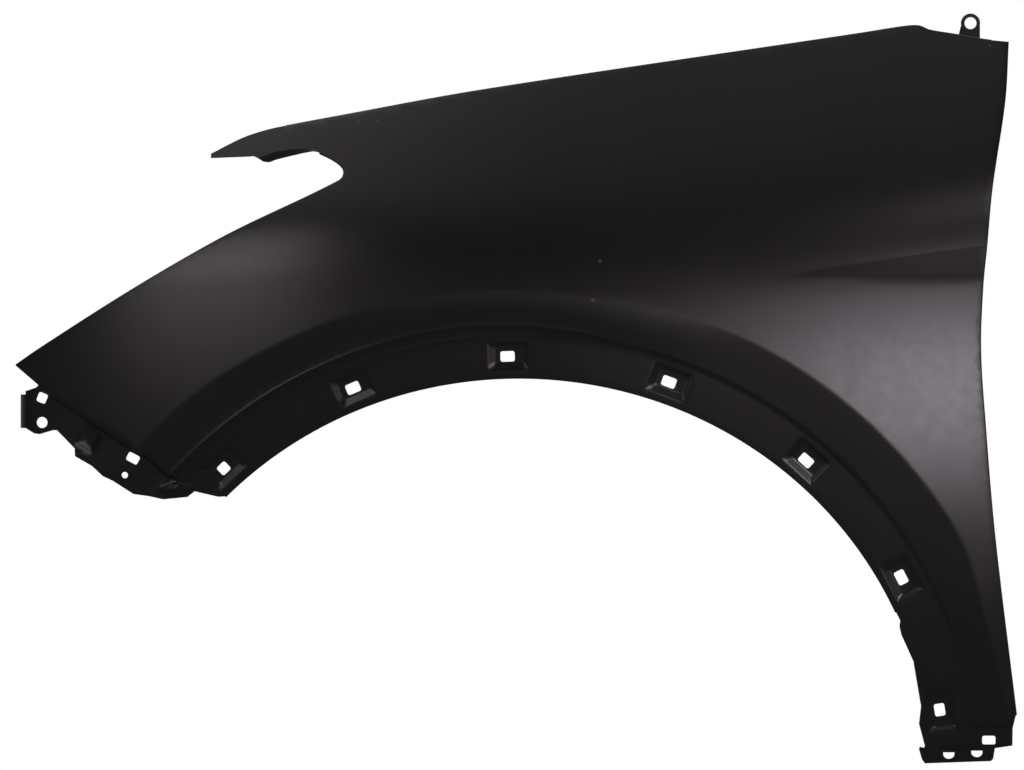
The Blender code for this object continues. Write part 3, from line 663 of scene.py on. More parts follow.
def half_round(centre):
    """D-shaped hole of the sill strip: flat on top and round below."""
    along, drop, side = 0.0112, 0.0066, 0.0015
    top = centre[1] + drop / 2.0
    points = [(centre[0] - along / 2.0, top), (centre[0] + along / 2.0, top)]
    for i in range(11):
        angle = -pi * i / 10.0
        x = centre[0] + along / 2.0 * cos(angle)
        points.append((x, top - side + (drop - side) * sin(angle)))
    return points


class Layout:
    """Flat side elevation of the panel, with every rim, hole and fold laid out."""

    def __init__(self, form):
        self.form, self.s = form, form.s
        self.runs = self.edge_runs()
        self.loop = []
        for run in self.runs.values():
            for p in run:
                if not self.loop or hypot(p[0] - self.loop[-1][0], p[1] - self.loop[-1][1]) > 1e-5:
                    self.loop.append(p)
        self.holes = self.hole_outlines()

    def arch_run(self, start, end, rule, shift=0.0):
        turn = abs(end - start) * radians(1.0) * self.s.arch_radius
        count = max(2, round(turn / self.s.line_step))
        angles = [start + (end - start) * i / count for i in range(count + 1)]
        return [self.form.point(a, rule(a) + shift) for a in angles]

    def edge_runs(self):
        f, step = self.form, self.s.line_step
        return {
            "hood": smooth_line(f.line(HOOD_EDGE), step),
            "door": smooth_line(f.line(DOOR_EDGE), step),
            "foot": divided(f.line(FOOT_EDGE[:-1] + FOOT_FRONT_EDGE), step),
            "arch": self.arch_run(self.s.arch_rear, self.s.arch_front, lambda a: 0.0),
            "bumper": divided(f.line(BUMPER_EDGE), step),
            "tab": divided(f.line(TAB_EDGE), step),
            "nose": divided(f.line([TAB_EDGE[-1], NOSE_CORNER]), step),
            "headlamp": smooth_line(f.line(HEADLAMP_EDGE), step),
            "beak": smooth_line(f.line(BEAK_EDGE), step),
        }

    def hole_outlines(self):
        f, holes = self.form, []
        for angle, out, along in CLIP_HOLES:
            place = (f.point(angle, out), along, self.s.clip_width, angle - 90.0)
            holes.append(rounded_rectangle(*place, HOLE_CORNER))
        for place, along, across, turn in SQUARE_HOLES:
            holes.append(rounded_rectangle(f.point(*place), along, across, turn, HOLE_CORNER))
        for place, diameter in ROUND_HOLES:
            holes.append(ellipse(f.point(*place), diameter, diameter, 0.0, HOLE_SIDES))
        holes += [half_round(centre) for centre in f.line(SILL_HOLES)]
        return holes

    def folds(self):
        """Open lines and closed rings that follow each fold, on it and to both sides."""
        f, s = self.form, self.s
        spread = (-1.0, -0.5, 0.0, 0.5, 1.0)
        lines, rings = [], []
        for share in (-2.0,) + spread + (2.0,):
            lines.append(self.arch_run(*BAND_ENDS, f.band_top, share * BAND_FOLD))
        for share in (-2.2,) + spread + (2.2,):
            lines.append(self.arch_run(*BAND_ENDS, f.step_top, share * STEP_FOLD))
            flange = self.arch_run(*BAND_ENDS, lambda a: s.clip_flange, share * STEP_FOLD)
            lines.append(flange)
        for share in spread:
            joggle = divided(f.line(JOGGLE_LINE[1:]), s.line_step)
            for drop in (0.0, s.joggle_drop):
                lines.append([(x, z - drop + share * JOGGLE_FOLD) for x, z in joggle])
            for edge, fold in ((0.0, CREASE_FOLD), (1.0, LEDGE_FOLD)):
                line = []
                for i in range(51):
                    x = f.crease_rear[0] + 0.004 - s.crease_length * 0.92 * i / 50.0
                    drop = edge * f.ledge_height(x)
                    line.append((x, f.crease_height(x) - drop + share * fold))
                lines.append(line)
            foot = f.line(FOOT_EDGE)
            for height, start, fade, _ in FOOT_STEPS:
                front = s.arch_radius + start
                for drop in (0.0, s.foot_drop):
                    z = height - drop + share * STEP_FOLD
                    lines.append(divided([(front, z), (foot[0][0], z)], s.line_step))
        for centre, turn in f.pads:
            for inset in (-PAD_FOLD, 0.0, PAD_FOLD):
                for low, high in ((0.0, 0.0), (s.pad_slope, s.pad_wall)):
                    offset = (low - high) / 2.0
                    middle = from_frame(offset, offset, centre, turn)
                    cut = 2.0 * inset + low + high
                    sides = (s.pad_length - cut, s.pad_width - cut)
                    outline = rounded_rectangle(middle, *sides, turn, PAD_CORNER, 1)
                    rings.append(ring_of(outline, RING_STEP))
        for share in (1.05, 0.95, 0.8, 0.6, 0.35):
            rings.append(ellipse(f.bead, BEAD_LENGTH * share, BEAD_WIDTH * share, BEAD_TURN, HOLE_SIDES))
        for inset in (0.0, PAD_FOLD, POCKET_WALL):
            sides = (POCKET_LENGTH - 2.0 * inset, POCKET_WIDTH - 2.0 * inset)
            outline = rounded_rectangle(f.pocket, *sides, POCKET_TURN, POCKET_CORNER, 1)
            rings.append(ring_of(outline, RING_STEP))
        return lines, rings

    def grid(self, taken):
        """Staggered grid inside the outline, clear of the lines that are already laid out."""
        cell = self.s.grid_step
        row_step = cell * sin(radians(60.0))
        xs, zs = [p[0] for p in self.loop], [p[1] for p in self.loop]
        near = {}
        for x, z in taken:
            near.setdefault((round(x / cell), round(z / cell)), []).append((x, z))
        wanted = []
        for row in range(int(max(zs) / row_step) + 1):
            z = row * row_step
            for column in range(int(min(xs) / cell) - 1, int(max(xs) / cell) + 1):
                x = (column + (row % 2) / 2.0) * cell
                i, j = round(x / cell), round(z / cell)
                spots = [(i + a, j + b) for a in (-1, 0, 1) for b in (-1, 0, 1)]
                around = [p for spot in spots for p in near.get(spot, ())]
                if all(hypot(x - p[0], z - p[1]) > cell * GRID_CLEARANCE for p in around):
                    wanted.append((x, z))
        keep = inside(np.array(wanted), self.loop)
        return [p for p, kept in zip(wanted, keep) if kept]

    def triangles(self):
        """The layout as triangles that follow every fold and hole."""
        lines, rings = self.folds()
        points, edges = [], []
        for line in lines:
            start = len(points)
            points += line
            edges += [(start + i, start + i + 1) for i in range(len(line) - 1)]
        for ring in [self.loop] + self.holes + rings:
            start = len(points)
            points += ring
            edges += [(start + i, start + (i + 1) % len(ring)) for i in range(len(ring))]
        points += self.grid(list(points))
        flat = [Vector(p) for p in points]
        verts, _, faces, *_ = delaunay_2d_cdt(flat, edges, [], 0, 1e-5)
        places = np.array([tuple(v) for v in verts])
        middles = np.array([places[list(face)].mean(axis=0) for face in faces])
        keep = inside(middles, self.loop)
        for hole in self.holes:
            keep &= ~inside(middles, hole)
        return verts, [face for face, kept in zip(faces, keep) if kept]


def ring_of(points, step):
    """A closed ring with points added along its sides, without the repeated first one."""
    return divided(points + points[:1], step)[:-1]


def inside(points, loop):
    """Which of many points lie inside a closed loop."""
    x, z = points[:, 0], points[:, 1]
    crossed = np.zeros(len(points), dtype=bool)
    for (x0, z0), (x1, z1) in zip(loop, loop[1:] + loop[:1]):
        if z0 != z1:
            spans = (z0 > z) != (z1 > z)
            crossed ^= spans & (x < x0 + (x1 - x0) * (z - z0) / (z1 - z0))
    return crossed


def press(form, verts, faces):
    """Presses the flat layout into form by moving each point to its depth."""
    panel = bmesh.new()
    made = {}
    for face in faces:
        for i in face:
            if i not in made:
                x, z = verts[i]
                made[i] = panel.verts.new((x, form.depth(x, z), z))
        panel.faces.new([made[i] for i in face])
    return panel


def rim_edges(panel, run, first=-10.0, last=10.0):
    """Open edges of the panel along one run of the outline, between two x limits."""
    found = []
    for edge in panel.edges:
        if not edge.is_boundary:
            continue
        middle = (edge.verts[0].co + edge.verts[1].co) / 2.0
        middle = Vector((middle.x, middle.z))
        if not first <= middle.x <= last:
            continue
        for a, b in zip(run, run[1:]):
            if abs(a[0] - middle.x) > RIM_FAR or abs(a[1] - middle.y) > RIM_FAR:
                continue
            foot, share = intersect_point_line(middle, Vector(a), Vector(b))
            if -0.01 <= share <= 1.01 and (foot - middle).length < RIM_NEAR:
                found.append(edge)
                break
    return found


def rim_directions(edges):
    """Direction out of the panel, in side elevation, at each vertex of some rim edges."""
    normals = {}
    for edge in edges:
        a, b = edge.verts
        along = b.co - a.co
        across = Vector((along.z, 0.0, -along.x)).normalized()
        if across.dot(edge.link_faces[0].calc_center_median() - a.co) > 0.0:
            across = -across
        for vert in edge.verts:
            normals[vert] = normals.get(vert, Vector()) + across
    return {vert: normal.normalized() for vert, normal in normals.items()}


def turn_rim(panel, form, edges, moves):
    """Extrudes a rim through a list of moves.

    Each move is a rule that gives a vector from the place, the direction out of the outline
    and the tangent of the skin across the rim.
    """
    carried = {}
    for vert, across in rim_directions(edges).items():
        tangent = (across + INBOARD * form.slope(vert.co.x, vert.co.z, across)).normalized()
        carried[vert] = (across, tangent)
    for move in moves:
        made = bmesh.ops.extrude_edge_only(panel, edges=edges)["geom"]
        fresh = {g for g in made if isinstance(g, bmesh.types.BMVert)}
        edges = [g for g in made if isinstance(g, bmesh.types.BMEdge)]
        edges = [e for e in edges if all(v in fresh for v in e.verts)]
        frames = {}
        for vert in fresh:
            parents = [e.other_vert(vert) for e in vert.link_edges]
            parent = next(p for p in parents if p in carried and p not in fresh)
            frames[vert] = carried[parent]
        for vert in fresh:
            vert.co += move(vert.co.copy(), *frames[vert])
        carried = frames


def arc(radius, begin, finish):
    """Moves that follow an arc between two directions, each given by a rule."""
    moves = []
    for i in range(RIM_SEGMENTS):
        share = (i + 0.5) / RIM_SEGMENTS

        def move(place, across, tangent, share=share):
            first, last = begin(across, tangent), finish(across, tangent)
            step = radius * first.angle(last) / RIM_SEGMENTS
            return first.slerp(last, share) * step

        moves.append(move)
    return moves


def straight(inboard):
    return [lambda place, across, tangent: INBOARD * inboard]


def along_skin(across, tangent):
    return tangent


def to_inboard(across, tangent):
    return INBOARD


def beak_lip(s):
    front, deepest, rear = BEAK_LIP

    def move(place, across, tangent):
        if place.x < deepest:
            share = blend(place.x, front, deepest)
        else:
            share = 1.0 - min(1.0, (place.x - deepest) / (rear - deepest)) ** 2
        inboard = s.beak_lip_least + (s.beak_lip_in - s.beak_lip_least) * share
        return (across * s.beak_lip_drop * share + INBOARD * inboard) / 3.0

    return [move] * 3


def hood_taper(x):
    """Share of its full size that the hood flange has, least at its front end."""
    share = blend(x, HOOD_FLANGE_FRONT, HOOD_FLANGE_FRONT + HOOD_TAPER)
    return HOOD_TAPER_LEAST + (1.0 - HOOD_TAPER_LEAST) * share


def hood_moves(s):
    """Moves of the hood flange: over the ridge, down its wall, and in along its shelf."""
    fold = 1.7 * s.bend_radius

    def wall_way(across, tangent):
        return (-across * s.hood_wall + INBOARD * s.hood_lean).normalized()

    moves = arc(s.bend_radius * 1.15, along_skin, wall_way)

    def wall(place, across, tangent):
        return wall_way(across, tangent) * (s.hood_wall * hood_taper(place.x) - fold) / 3.0

    def shelf(place, across, tangent):
        return INBOARD * (s.hood_shelf * hood_taper(place.x) - fold) / SHELF_ROWS

    return moves + [wall] * 3 + arc(fold, wall_way, to_inboard) + [shelf] * SHELF_ROWS


def turn_rims(panel, form, runs):
    """Turns every rim that has a flange."""
    s = form.s
    bend = arc(s.bend_radius, along_skin, to_inboard)
    ear_rear = form.point(*EAR_HOLE_PLACE)[0] + s.ear_foot / 2.0
    hood = rim_edges(panel, runs["hood"], HOOD_FLANGE_FRONT, ear_rear + SHELF_BEYOND_EAR)
    turn_rim(panel, form, hood, hood_moves(s))
    for name, inboard in (
        ("door", s.door_flange),
        ("arch", s.arch_lip),
        ("headlamp", s.headlamp_flange),
        ("nose", s.nose_hem),
    ):
        turn_rim(panel, form, rim_edges(panel, runs[name]), bend + straight(inboard))
    beak = rim_edges(panel, runs["beak"], BEAK_LIP[0], BEAK_LIP[2])
    turn_rim(panel, form, beak, beak_lip(s))
    tab_points = form.line(TAB_EDGE[2:4])
    tab = rim_edges(panel, divided(tab_points, s.line_step))

    def lip(place, across, tangent):
        return across * s.tab_lip_out + INBOARD * s.tab_lip_in

    turn_rim(panel, form, tab, [lip])


def facing_out(mesh):
    """Turns a sheet's faces so that the skin looks outboard."""
    bmesh.ops.recalc_face_normals(mesh, faces=mesh.faces)
    if sum(f.normal.y * f.calc_area() for f in mesh.faces) > 0.0:
        bmesh.ops.reverse_faces(mesh, faces=mesh.faces)


def finished(name, mesh, material):
    """A mesh as an object at the origin, with its material."""
    data = bpy.data.meshes.new(name)
    mesh.to_mesh(data)
    mesh.free()
    data.materials.append(material)
    item = bpy.data.objects.new(name, data)
    bpy.context.scene.collection.objects.link(item)
    return item


def applied(item):
    """Applies an object's modifiers to its mesh."""
    shaped = item.evaluated_get(bpy.context.evaluated_depsgraph_get())
    data = bpy.data.meshes.new_from_object(shaped)
    old = item.data
    item.modifiers.clear()
    item.data = data
    name = old.name
    bpy.data.meshes.remove(old)
    data.name = name


def shade(item, sharp_angle=38.0):
    """Smooth faces, with sharp edges where the sheet's cut edges are."""
    mesh = bmesh.new()
    mesh.from_mesh(item.data)
    for face in mesh.faces:
        face.smooth = True
    for edge in mesh.edges:
        edge.smooth = not edge.is_manifold or edge.calc_face_angle() < radians(sharp_angle)
    mesh.to_mesh(item.data)
    mesh.free()


def shelf_cutters(form):
    """Round cutters through the shelf, as one mesh in the frame's place."""
    s, tool = form.s, bmesh.new()
    for x in SHELF_HOLES_X:
        up = form.hood_up(x)
        place = form.shelf_point(x, s.shelf_hole_in) - form.origin()
        turn = Vector((0.0, 0.0, 1.0)).rotation_difference(up).to_matrix().to_4x4()
        bmesh.ops.create_cone(
            tool,
            cap_ends=True,
            segments=SHELF_HOLE_SIDES,
            radius1=s.shelf_hole / 2.0,
            radius2=s.shelf_hole / 2.0,
            depth=SHELF_CUTTER_DEPTH,
            matrix=Matrix.Translation(place) @ turn,
        )
    return tool


def make_panel(settings, material):
    """The pressed, flanged and pierced panel."""
    form = Pressing(read(settings))
    layout = Layout(form)
    verts, faces = layout.triangles()
    panel = press(form, verts, faces)
    turn_rims(panel, form, layout.runs)
    facing_out(panel)
    bmesh.ops.translate(panel, verts=panel.verts, vec=-form.origin())
    item = finished("pressed_panel", panel, material)
    gauge = item.modifiers.new("sheet_gauge", "SOLIDIFY")
    gauge.thickness = form.s.gauge
    gauge.offset = -1.0
    gauge.use_even_offset = True
    cutter = finished("shelf_cutter", shelf_cutters(form), material)
    pierce = item.modifiers.new("pierce_shelf", "BOOLEAN")
    pierce.operation = "DIFFERENCE"
    pierce.solver = "EXACT"
    pierce.object = cutter
    applied(item)
    bpy.data.objects.remove(cutter)
    shade(item)
    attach(item, "root")
    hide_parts(PANEL_NODE)


def make_ear(settings, material):
    """The ear: a tapered tongue that bends up from the shelf, with a round pierced head."""
    form = Pressing(read(settings))
    s = form.s
    centre = form.ear_centre() - form.origin()
    head = s.ear_hole / 2.0 + s.ear_rim
    feet = []
    for side in (-0.5, 0.5):
        x = form.ear_centre().x + side * s.ear_foot
        feet.append(form.shelf_point(x, s.hood_shelf) - form.origin())
    ear = bmesh.new()
    outer = [Vector((f.x, centre.y, f.z + EAR_BEND)) for f in feet]
    for i in range(EAR_HEAD_STEPS + 1):
        angle = radians(EAR_HEAD_START + EAR_HEAD_SWEEP * i / EAR_HEAD_STEPS)
        outer.append(centre + Vector((head * cos(angle), 0.0, head * sin(angle))))
    hole = []
    for i in range(HOLE_SIDES):
        angle = 2.0 * pi * i / HOLE_SIDES
        hole.append(centre + Vector((cos(angle), 0.0, sin(angle))) * s.ear_hole / 2.0)
    rims = []
    for ring in (outer, hole):
        verts = [ear.verts.new(p) for p in ring]
        rims += [ear.edges.new((a, b)) for a, b in zip(verts, verts[1:] + verts[:1])]
        if ring is outer:
            base = rims[0]
    bmesh.ops.triangle_fill(ear, use_beauty=True, use_dissolve=False, edges=rims)
    edges = [base]
    for i in range(RIM_SEGMENTS):
        angle = radians(90.0 * (i + 0.5) / RIM_SEGMENTS)
        step = EAR_BEND * radians(90.0) / RIM_SEGMENTS
        made = bmesh.ops.extrude_edge_only(ear, edges=edges)["geom"]
        fresh = [g for g in made if isinstance(g, bmesh.types.BMVert)]
        edges = [g for g in made if isinstance(g, bmesh.types.BMEdge)]
        edges = [e for e in edges if all(v in fresh for v in e.verts)]
        move = Vector((0.0, -sin(angle), -cos(angle))) * step
        bmesh.ops.translate(ear, verts=fresh, vec=move)
    facing_out(ear)
    item = finished("hood_ear", ear, material)
    gauge = item.modifiers.new("sheet_gauge", "SOLIDIFY")
    gauge.thickness = s.gauge
    gauge.offset = 1.0
    applied(item)
    shade(item)
    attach(item, "root")


def add_node(tree, kind, **values):
    """A shader node with its settings and plain input values."""
    item = tree.nodes.new(kind)
    for name, value in values.items():
        if name in item.inputs:
            item.inputs[name].default_value = value
        else:
            setattr(item, name, value)
    return item


def maths(tree, operation, first, second):
    """Result of a maths node of two values, each an output to link or a plain number."""
    item = add_node(tree, "ShaderNodeMath", operation=operation)
    for socket, value in zip(item.inputs, (first, second)):
        if isinstance(value, float):
            socket.default_value = value
        else:
            tree.links.new(value, socket)
    return item.outputs[0]


# Paint nibs and rub marks that the photograph shows on the skin: x, height and radius
NIBS = (
    (0.080, 0.515, 0.0028),
    (0.073, 0.476, 0.0032),
    (-0.162, 0.655, 0.0018),
    (-0.154, 0.657, 0.0014),
    (-0.143, 0.656, 0.0017),
    (0.471, 0.731, 0.0018),
)
# Stray nibs: cells per metre, share of the cells that hold one, and radius as a share of a cell
NIB_CELLS, NIB_SHARE, NIB_SIZE = 11.0, 0.2, 0.009
# Smears left by handling: stretch of the noise along X, Y and Z, and its threshold
SMEAR_STRETCH = (16.0, 16.0, 3.5)
SMEAR_SPAN = (0.56, 0.72)
# Slow haze and fine grain of the coat: scale of the noise, and the part of its range in use
CLOUD_SCALE, CLOUD_SPAN = 7.0, (0.35, 0.70)
GRAIN_SCALE, GRAIN_SPAN = 90.0, (0.3, 0.7)


def nib_mask(tree, place, shift):
    """One on the paint nibs and nothing elsewhere, seen along Y."""
    link = tree.links.new
    split = tree.nodes.new("ShaderNodeSeparateXYZ")
    link(place, split.inputs[0])
    flat = tree.nodes.new("ShaderNodeCombineXYZ")
    link(split.outputs["X"], flat.inputs["X"])
    link(split.outputs["Z"], flat.inputs["Y"])
    cells = add_node(tree, "ShaderNodeTexVoronoi", voronoi_dimensions="2D", Scale=NIB_CELLS)
    link(flat.outputs[0], cells.inputs["Vector"])
    tone = tree.nodes.new("ShaderNodeSeparateColor")
    link(cells.outputs["Color"], tone.inputs[0])
    chosen = maths(tree, "LESS_THAN", tone.outputs[0], NIB_SHARE)
    round_off = fade_node(tree, cells.outputs["Distance"], (0.0, NIB_SIZE), (1.0, 0.0))
    mask = maths(tree, "MULTIPLY", chosen, round_off)
    for x, height, radius in NIBS:
        away = add_node(tree, "ShaderNodeVectorMath", operation="DISTANCE")
        link(flat.outputs[0], away.inputs[0])
        away.inputs[1].default_value = (x - shift.x, height - shift.z, 0.0)
        spot = fade_node(tree, away.outputs["Value"], (0.0, radius), (1.0, 0.0))
        mask = maths(tree, "MAXIMUM", mask, spot)
    return mask


def make_coat(finish, shift):
    """Satin black electrocoat: fine peel, slow haze, paint nibs and smears."""
    material = bpy.data.materials.new(COAT_NAME)
    material.use_nodes = True
    tree = material.node_tree
    link = tree.links.new
    shader = tree.nodes["Principled BSDF"]
    place = add_node(tree, "ShaderNodeTexCoord").outputs["Object"]
    cloud = add_node(tree, "ShaderNodeTexNoise", Scale=CLOUD_SCALE, Detail=5.0, Roughness=0.6)
    link(place, cloud.inputs["Vector"])
    clouded = fade_node(tree, cloud.outputs["Fac"], CLOUD_SPAN, (0.0, 1.0), "LINEAR")
    tint = tree.nodes.new("ShaderNodeMix")
    tint.data_type = "RGBA"
    tint.inputs[6].default_value = finish.coat
    tint.inputs[7].default_value = finish.haze
    link(clouded, tint.inputs["Factor"])
    nibs = nib_mask(tree, place, shift)
    dusted = tree.nodes.new("ShaderNodeMix")
    dusted.data_type = "RGBA"
    link(tint.outputs[2], dusted.inputs[6])
    dusted.inputs[7].default_value = finish.dust
    link(nibs, dusted.inputs["Factor"])
    link(dusted.outputs[2], shader.inputs["Base Color"])
    stretch = tree.nodes.new("ShaderNodeMapping")
    stretch.inputs["Scale"].default_value = SMEAR_STRETCH
    link(place, stretch.inputs["Vector"])
    smear = add_node(tree, "ShaderNodeTexNoise", Scale=1.0, Detail=3.0, Roughness=0.6)
    link(stretch.outputs[0], smear.inputs["Vector"])
    smeared = fade_node(tree, smear.outputs["Fac"], SMEAR_SPAN, (0.0, finish.smear))
    grain = add_node(tree, "ShaderNodeTexNoise", Scale=GRAIN_SCALE, Detail=4.0, Roughness=0.55)
    link(place, grain.inputs["Vector"])
    half = finish.mottle / 2.0
    levels = (finish.roughness - half, finish.roughness + half)
    gloss = fade_node(tree, grain.outputs["Fac"], GRAIN_SPAN, levels, "LINEAR")
    link(maths(tree, "ADD", gloss, smeared), shader.inputs["Roughness"])
    peel = add_node(tree, "ShaderNodeTexNoise", Scale=finish.peel_size, Detail=2.0)
    link(place, peel.inputs["Vector"])
    bump = add_node(tree, "ShaderNodeBump", Strength=finish.peel_depth, Distance=0.001)
    link(maths(tree, "ADD", peel.outputs["Fac"], nibs), bump.inputs["Height"])
    link(bump.outputs["Normal"], shader.inputs["Normal"])
    return material


def fade_node(tree, value, span, levels, kind="SMOOTHSTEP"):
    """A fade of a value between two places, from one level to another."""
    fade = add_node(tree, "ShaderNodeMapRange", interpolation_type=kind)
    fade.inputs["From Min"].default_value, fade.inputs["From Max"].default_value = span
    fade.inputs["To Min"].default_value, fade.inputs["To Max"].default_value = levels
    tree.links.new(value, fade.inputs["Value"])
    return fade.outputs["Result"]


def backdrop_rays(tree, behind):
    """One for rays that see the white backdrop: the camera's, and mirrored ones behind."""
    path = tree.nodes.new("ShaderNodeLightPath")
    value = path.outputs["Is Glossy Ray"]
    for operation, other in (
        ("MAXIMUM", path.outputs["Is Transmission Ray"]),
        ("MULTIPLY", behind),
        ("MAXIMUM", path.outputs["Is Camera Ray"]),
    ):
        value = maths(tree, operation, value, other)
    return value


# Floor: its grey, its glow to the camera, where the glow starts behind the panel, half its width
FLOOR_GREY = (0.35, 0.35, 0.35, 1.0)
FLOOR_ROUGHNESS = 0.9
FLOOR_GLOW = 0.80
FLOOR_BEHIND = (0.3, 2.0)
FLOOR_REACH = 8.0


def make_floor_material(name):
    """Pale floor: white to the camera, with the object's shadow kept."""
    material = bpy.data.materials.new(name)
    material.use_nodes = True
    tree = material.node_tree
    link = tree.links.new
    shader = tree.nodes["Principled BSDF"]
    shader.inputs["Base Color"].default_value = FLOOR_GREY
    shader.inputs["Roughness"].default_value = FLOOR_ROUGHNESS
    glow = add_node(tree, "ShaderNodeEmission", Strength=FLOOR_GLOW)
    both = tree.nodes.new("ShaderNodeAddShader")
    link(shader.outputs[0], both.inputs[0])
    link(glow.outputs[0], both.inputs[1])
    place = add_node(tree, "ShaderNodeTexCoord").outputs["Object"]
    split = tree.nodes.new("ShaderNodeSeparateXYZ")
    link(place, split.inputs[0])
    behind = fade_node(tree, split.outputs["Y"], FLOOR_BEHIND, (0.0, 1.0))
    pick = tree.nodes.new("ShaderNodeMixShader")
    link(backdrop_rays(tree, behind), pick.inputs["Fac"])
    link(shader.outputs[0], pick.inputs[1])
    link(both.outputs[0], pick.inputs[2])
    link(pick.outputs[0], tree.nodes["Material Output"].inputs["Surface"])
    return material


# Brightness of the room before the panel: low down, and what the upper left adds in two steps
ROOM_LOW = 0.03
ROOM_STEPS = (
    (0.14, (0.30, 0.70), (0.40, -0.20)),
    (0.50, (0.50, 0.90), (0.20, -0.60)),
)
ROOM_TINT = (1.0, 0.93, 0.96, 1.0)
BEHIND_SPAN = (0.25, 0.75)


def make_world():
    """White behind the object, and dim grey for the light that falls on it."""
    world = bpy.data.worlds.new("studio_world")
    bpy.context.scene.world = world
    world.use_nodes = True
    tree = world.node_tree
    link = tree.links.new
    room = tree.nodes["Background"]
    white = add_node(tree, "ShaderNodeBackground", Color=(1.0, 1.0, 1.0, 1.0))
    place = add_node(tree, "ShaderNodeTexCoord").outputs["Generated"]
    split = tree.nodes.new("ShaderNodeSeparateXYZ")
    link(place, split.inputs[0])
    room.inputs["Color"].default_value = ROOM_TINT
    level = ROOM_LOW
    for gain, heights, sides in ROOM_STEPS:
        up = fade_node(tree, split.outputs["Z"], heights, (0.0, gain))
        left = fade_node(tree, split.outputs["X"], sides, (0.0, 1.0))
        level = maths(tree, "ADD", maths(tree, "MULTIPLY", up, left), level)
    link(level, room.inputs["Strength"])
    behind = fade_node(tree, split.outputs["Y"], BEHIND_SPAN, (0.0, 1.0))
    mix = tree.nodes.new("ShaderNodeMixShader")
    link(backdrop_rays(tree, behind), mix.inputs["Fac"])
    link(room.outputs[0], mix.inputs[1])
    link(white.outputs[0], mix.inputs[2])
    link(mix.outputs[0], tree.nodes["World Output"].inputs["Surface"])


# Colour of the lamps, spread of the near ones, and the place that the picture is centred on
LAMP_TINT = (1.0, 0.91, 0.98)
NEAR_SPREAD = 70.0
IMAGE_CENTRE = (-0.008, 0.391)
VIEW_DEPTH = 0.020
SENSOR = 36.0


def add_lamp(name, place, target, size, power, mirrored=True, spread=180.0):
    """Soft lamp that the camera doesn't see, and that gloss shows only where it is mirrored."""
    data = bpy.data.lights.new(name, "AREA")
    data.shape = "RECTANGLE"
    data.size, data.size_y = size
    data.energy = power
    data.spread = radians(spread)
    data.color = LAMP_TINT
    item = bpy.data.objects.new(name, data)
    item.location = place
    item.rotation_euler = (Vector(target) - Vector(place)).to_track_quat("-Z", "Y").to_euler()
    item.visible_camera = False
    item.visible_glossy = mirrored
    bpy.context.scene.collection.objects.link(item)


def make_studio(sizes, studio):
    """Camera at the photograph's angle, plain floor, soft lamps and pale surroundings."""
    form = Pressing(read(sizes))
    shift = form.origin()
    data = bpy.data.cameras.new("photo_camera")
    data.sensor_width = SENSOR
    data.lens = SENSOR * studio.distance / studio.view_width
    data.clip_start, data.clip_end = 1.0, 500.0
    camera = bpy.data.objects.new("photo_camera", data)
    target = Vector((IMAGE_CENTRE[0], VIEW_DEPTH, IMAGE_CENTRE[1])) - shift
    camera.location = target - INBOARD * studio.distance
    camera.rotation_euler = Euler((radians(90.0), 0.0, 0.0))
    bpy.context.scene.collection.objects.link(camera)
    bpy.context.scene.camera = camera
    floor = bmesh.new()
    bmesh.ops.create_grid(floor, x_segments=4, y_segments=4, size=FLOOR_REACH)
    bmesh.ops.translate(floor, verts=floor.verts, vec=(0.0, 0.0, studio.floor_height))
    finished("studio_floor", floor, make_floor_material("studio_floor"))
    make_world()
    middle = (-0.25, -0.1, -0.3)
    near = (
        ("low_lamp", (0.21, -1.30, -0.44), (0.20, 0.0, -0.35), (0.32, 0.30), studio.low_power),
        ("side_lamp", (-1.55, -1.25, 0.20), (-0.5, 0.0, -0.02), (0.80, 1.00), studio.side_power),
        ("high_lamp", (0.36, -1.30, 0.33), (0.15, 0.0, -0.05), (0.30, 0.30), studio.high_power),
    )
    for name, place, aim, size, power in near:
        add_lamp(name, place, aim, size, power, True, NEAR_SPREAD)
    add_lamp("fill_lamp", (-0.3, -7.5, 0.5), middle, (2.4, 1.4), studio.fill_power, False)


def coat_of(scene):
    """The coat that both pieces share, made once."""
    found = bpy.data.materials.get(COAT_NAME)
    return found or make_coat(scene.fender_finish, Pressing(read(scene.fender_sizes)).origin())


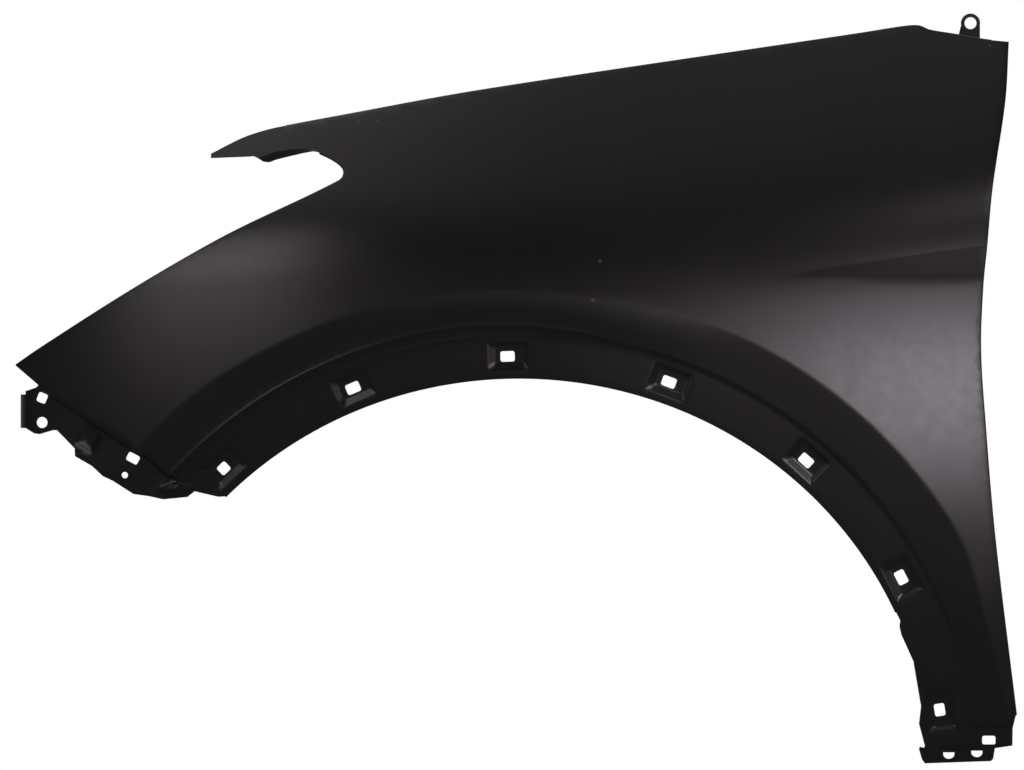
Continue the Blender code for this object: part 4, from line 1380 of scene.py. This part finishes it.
class FENDER_OT_make_panel(bpy.types.Operator):
    """Build the pressed panel"""

    bl_idname = "fender.make_panel"
    bl_label = "Make Panel"

    def execute(self, context):
        scene = context.scene
        make_panel(scene.fender_sizes, coat_of(scene))
        return {"FINISHED"}


class FENDER_OT_make_ear(bpy.types.Operator):
    """Build the ear at the rear end of the hood flange"""

    bl_idname = "fender.make_ear"
    bl_label = "Make Ear"

    def execute(self, context):
        scene = context.scene
        make_ear(scene.fender_sizes, coat_of(scene))
        return {"FINISHED"}


class FENDER_OT_make_studio(bpy.types.Operator):
    """Build the camera, the lamps, the floor and the world"""

    bl_idname = "fender.make_studio"
    bl_label = "Make Studio"

    def execute(self, context):
        scene = context.scene
        make_studio(scene.fender_sizes, scene.fender_studio)
        return {"FINISHED"}


class FENDER_PT_panel(bpy.types.Panel):
    """Sizes, finish and studio of the fender"""

    bl_label = "Fender"
    bl_idname = "FENDER_PT_panel"
    bl_space_type = "VIEW_3D"
    bl_region_type = "UI"
    bl_category = "Fender"

    def draw(self, context):
        layout = self.layout
        scene = context.scene
        for operator in (FENDER_OT_make_panel, FENDER_OT_make_ear, FENDER_OT_make_studio):
            layout.operator(operator.bl_idname)
        for group in (scene.fender_sizes, scene.fender_finish, scene.fender_studio):
            box = layout.box()
            for name in group.__annotations__:
                box.prop(group, name)


CLASSES = (
    FenderSizes,
    FenderFinish,
    FenderStudio,
    FENDER_OT_make_panel,
    FENDER_OT_make_ear,
    FENDER_OT_make_studio,
    FENDER_PT_panel,
)
GROUPS = (
    ("fender_sizes", FenderSizes),
    ("fender_finish", FenderFinish),
    ("fender_studio", FenderStudio),
)


def register():
    for item in CLASSES:
        bpy.utils.register_class(item)
    for name, group in GROUPS:
        setattr(bpy.types.Scene, name, bpy.props.PointerProperty(type=group))


def unregister():
    for name, _ in GROUPS:
        delattr(bpy.types.Scene, name)
    for item in reversed(CLASSES):
        bpy.utils.unregister_class(item)


def main():
    """Builds everything: the panel, the ear and the studio."""
    register()
    scene = bpy.context.scene
    scene.view_settings.view_transform = "Standard"
    bpy.ops.fender.make_panel()
    bpy.ops.fender.make_ear()
    bpy.ops.fender.make_studio()


if __name__ == "__main__":
    main()
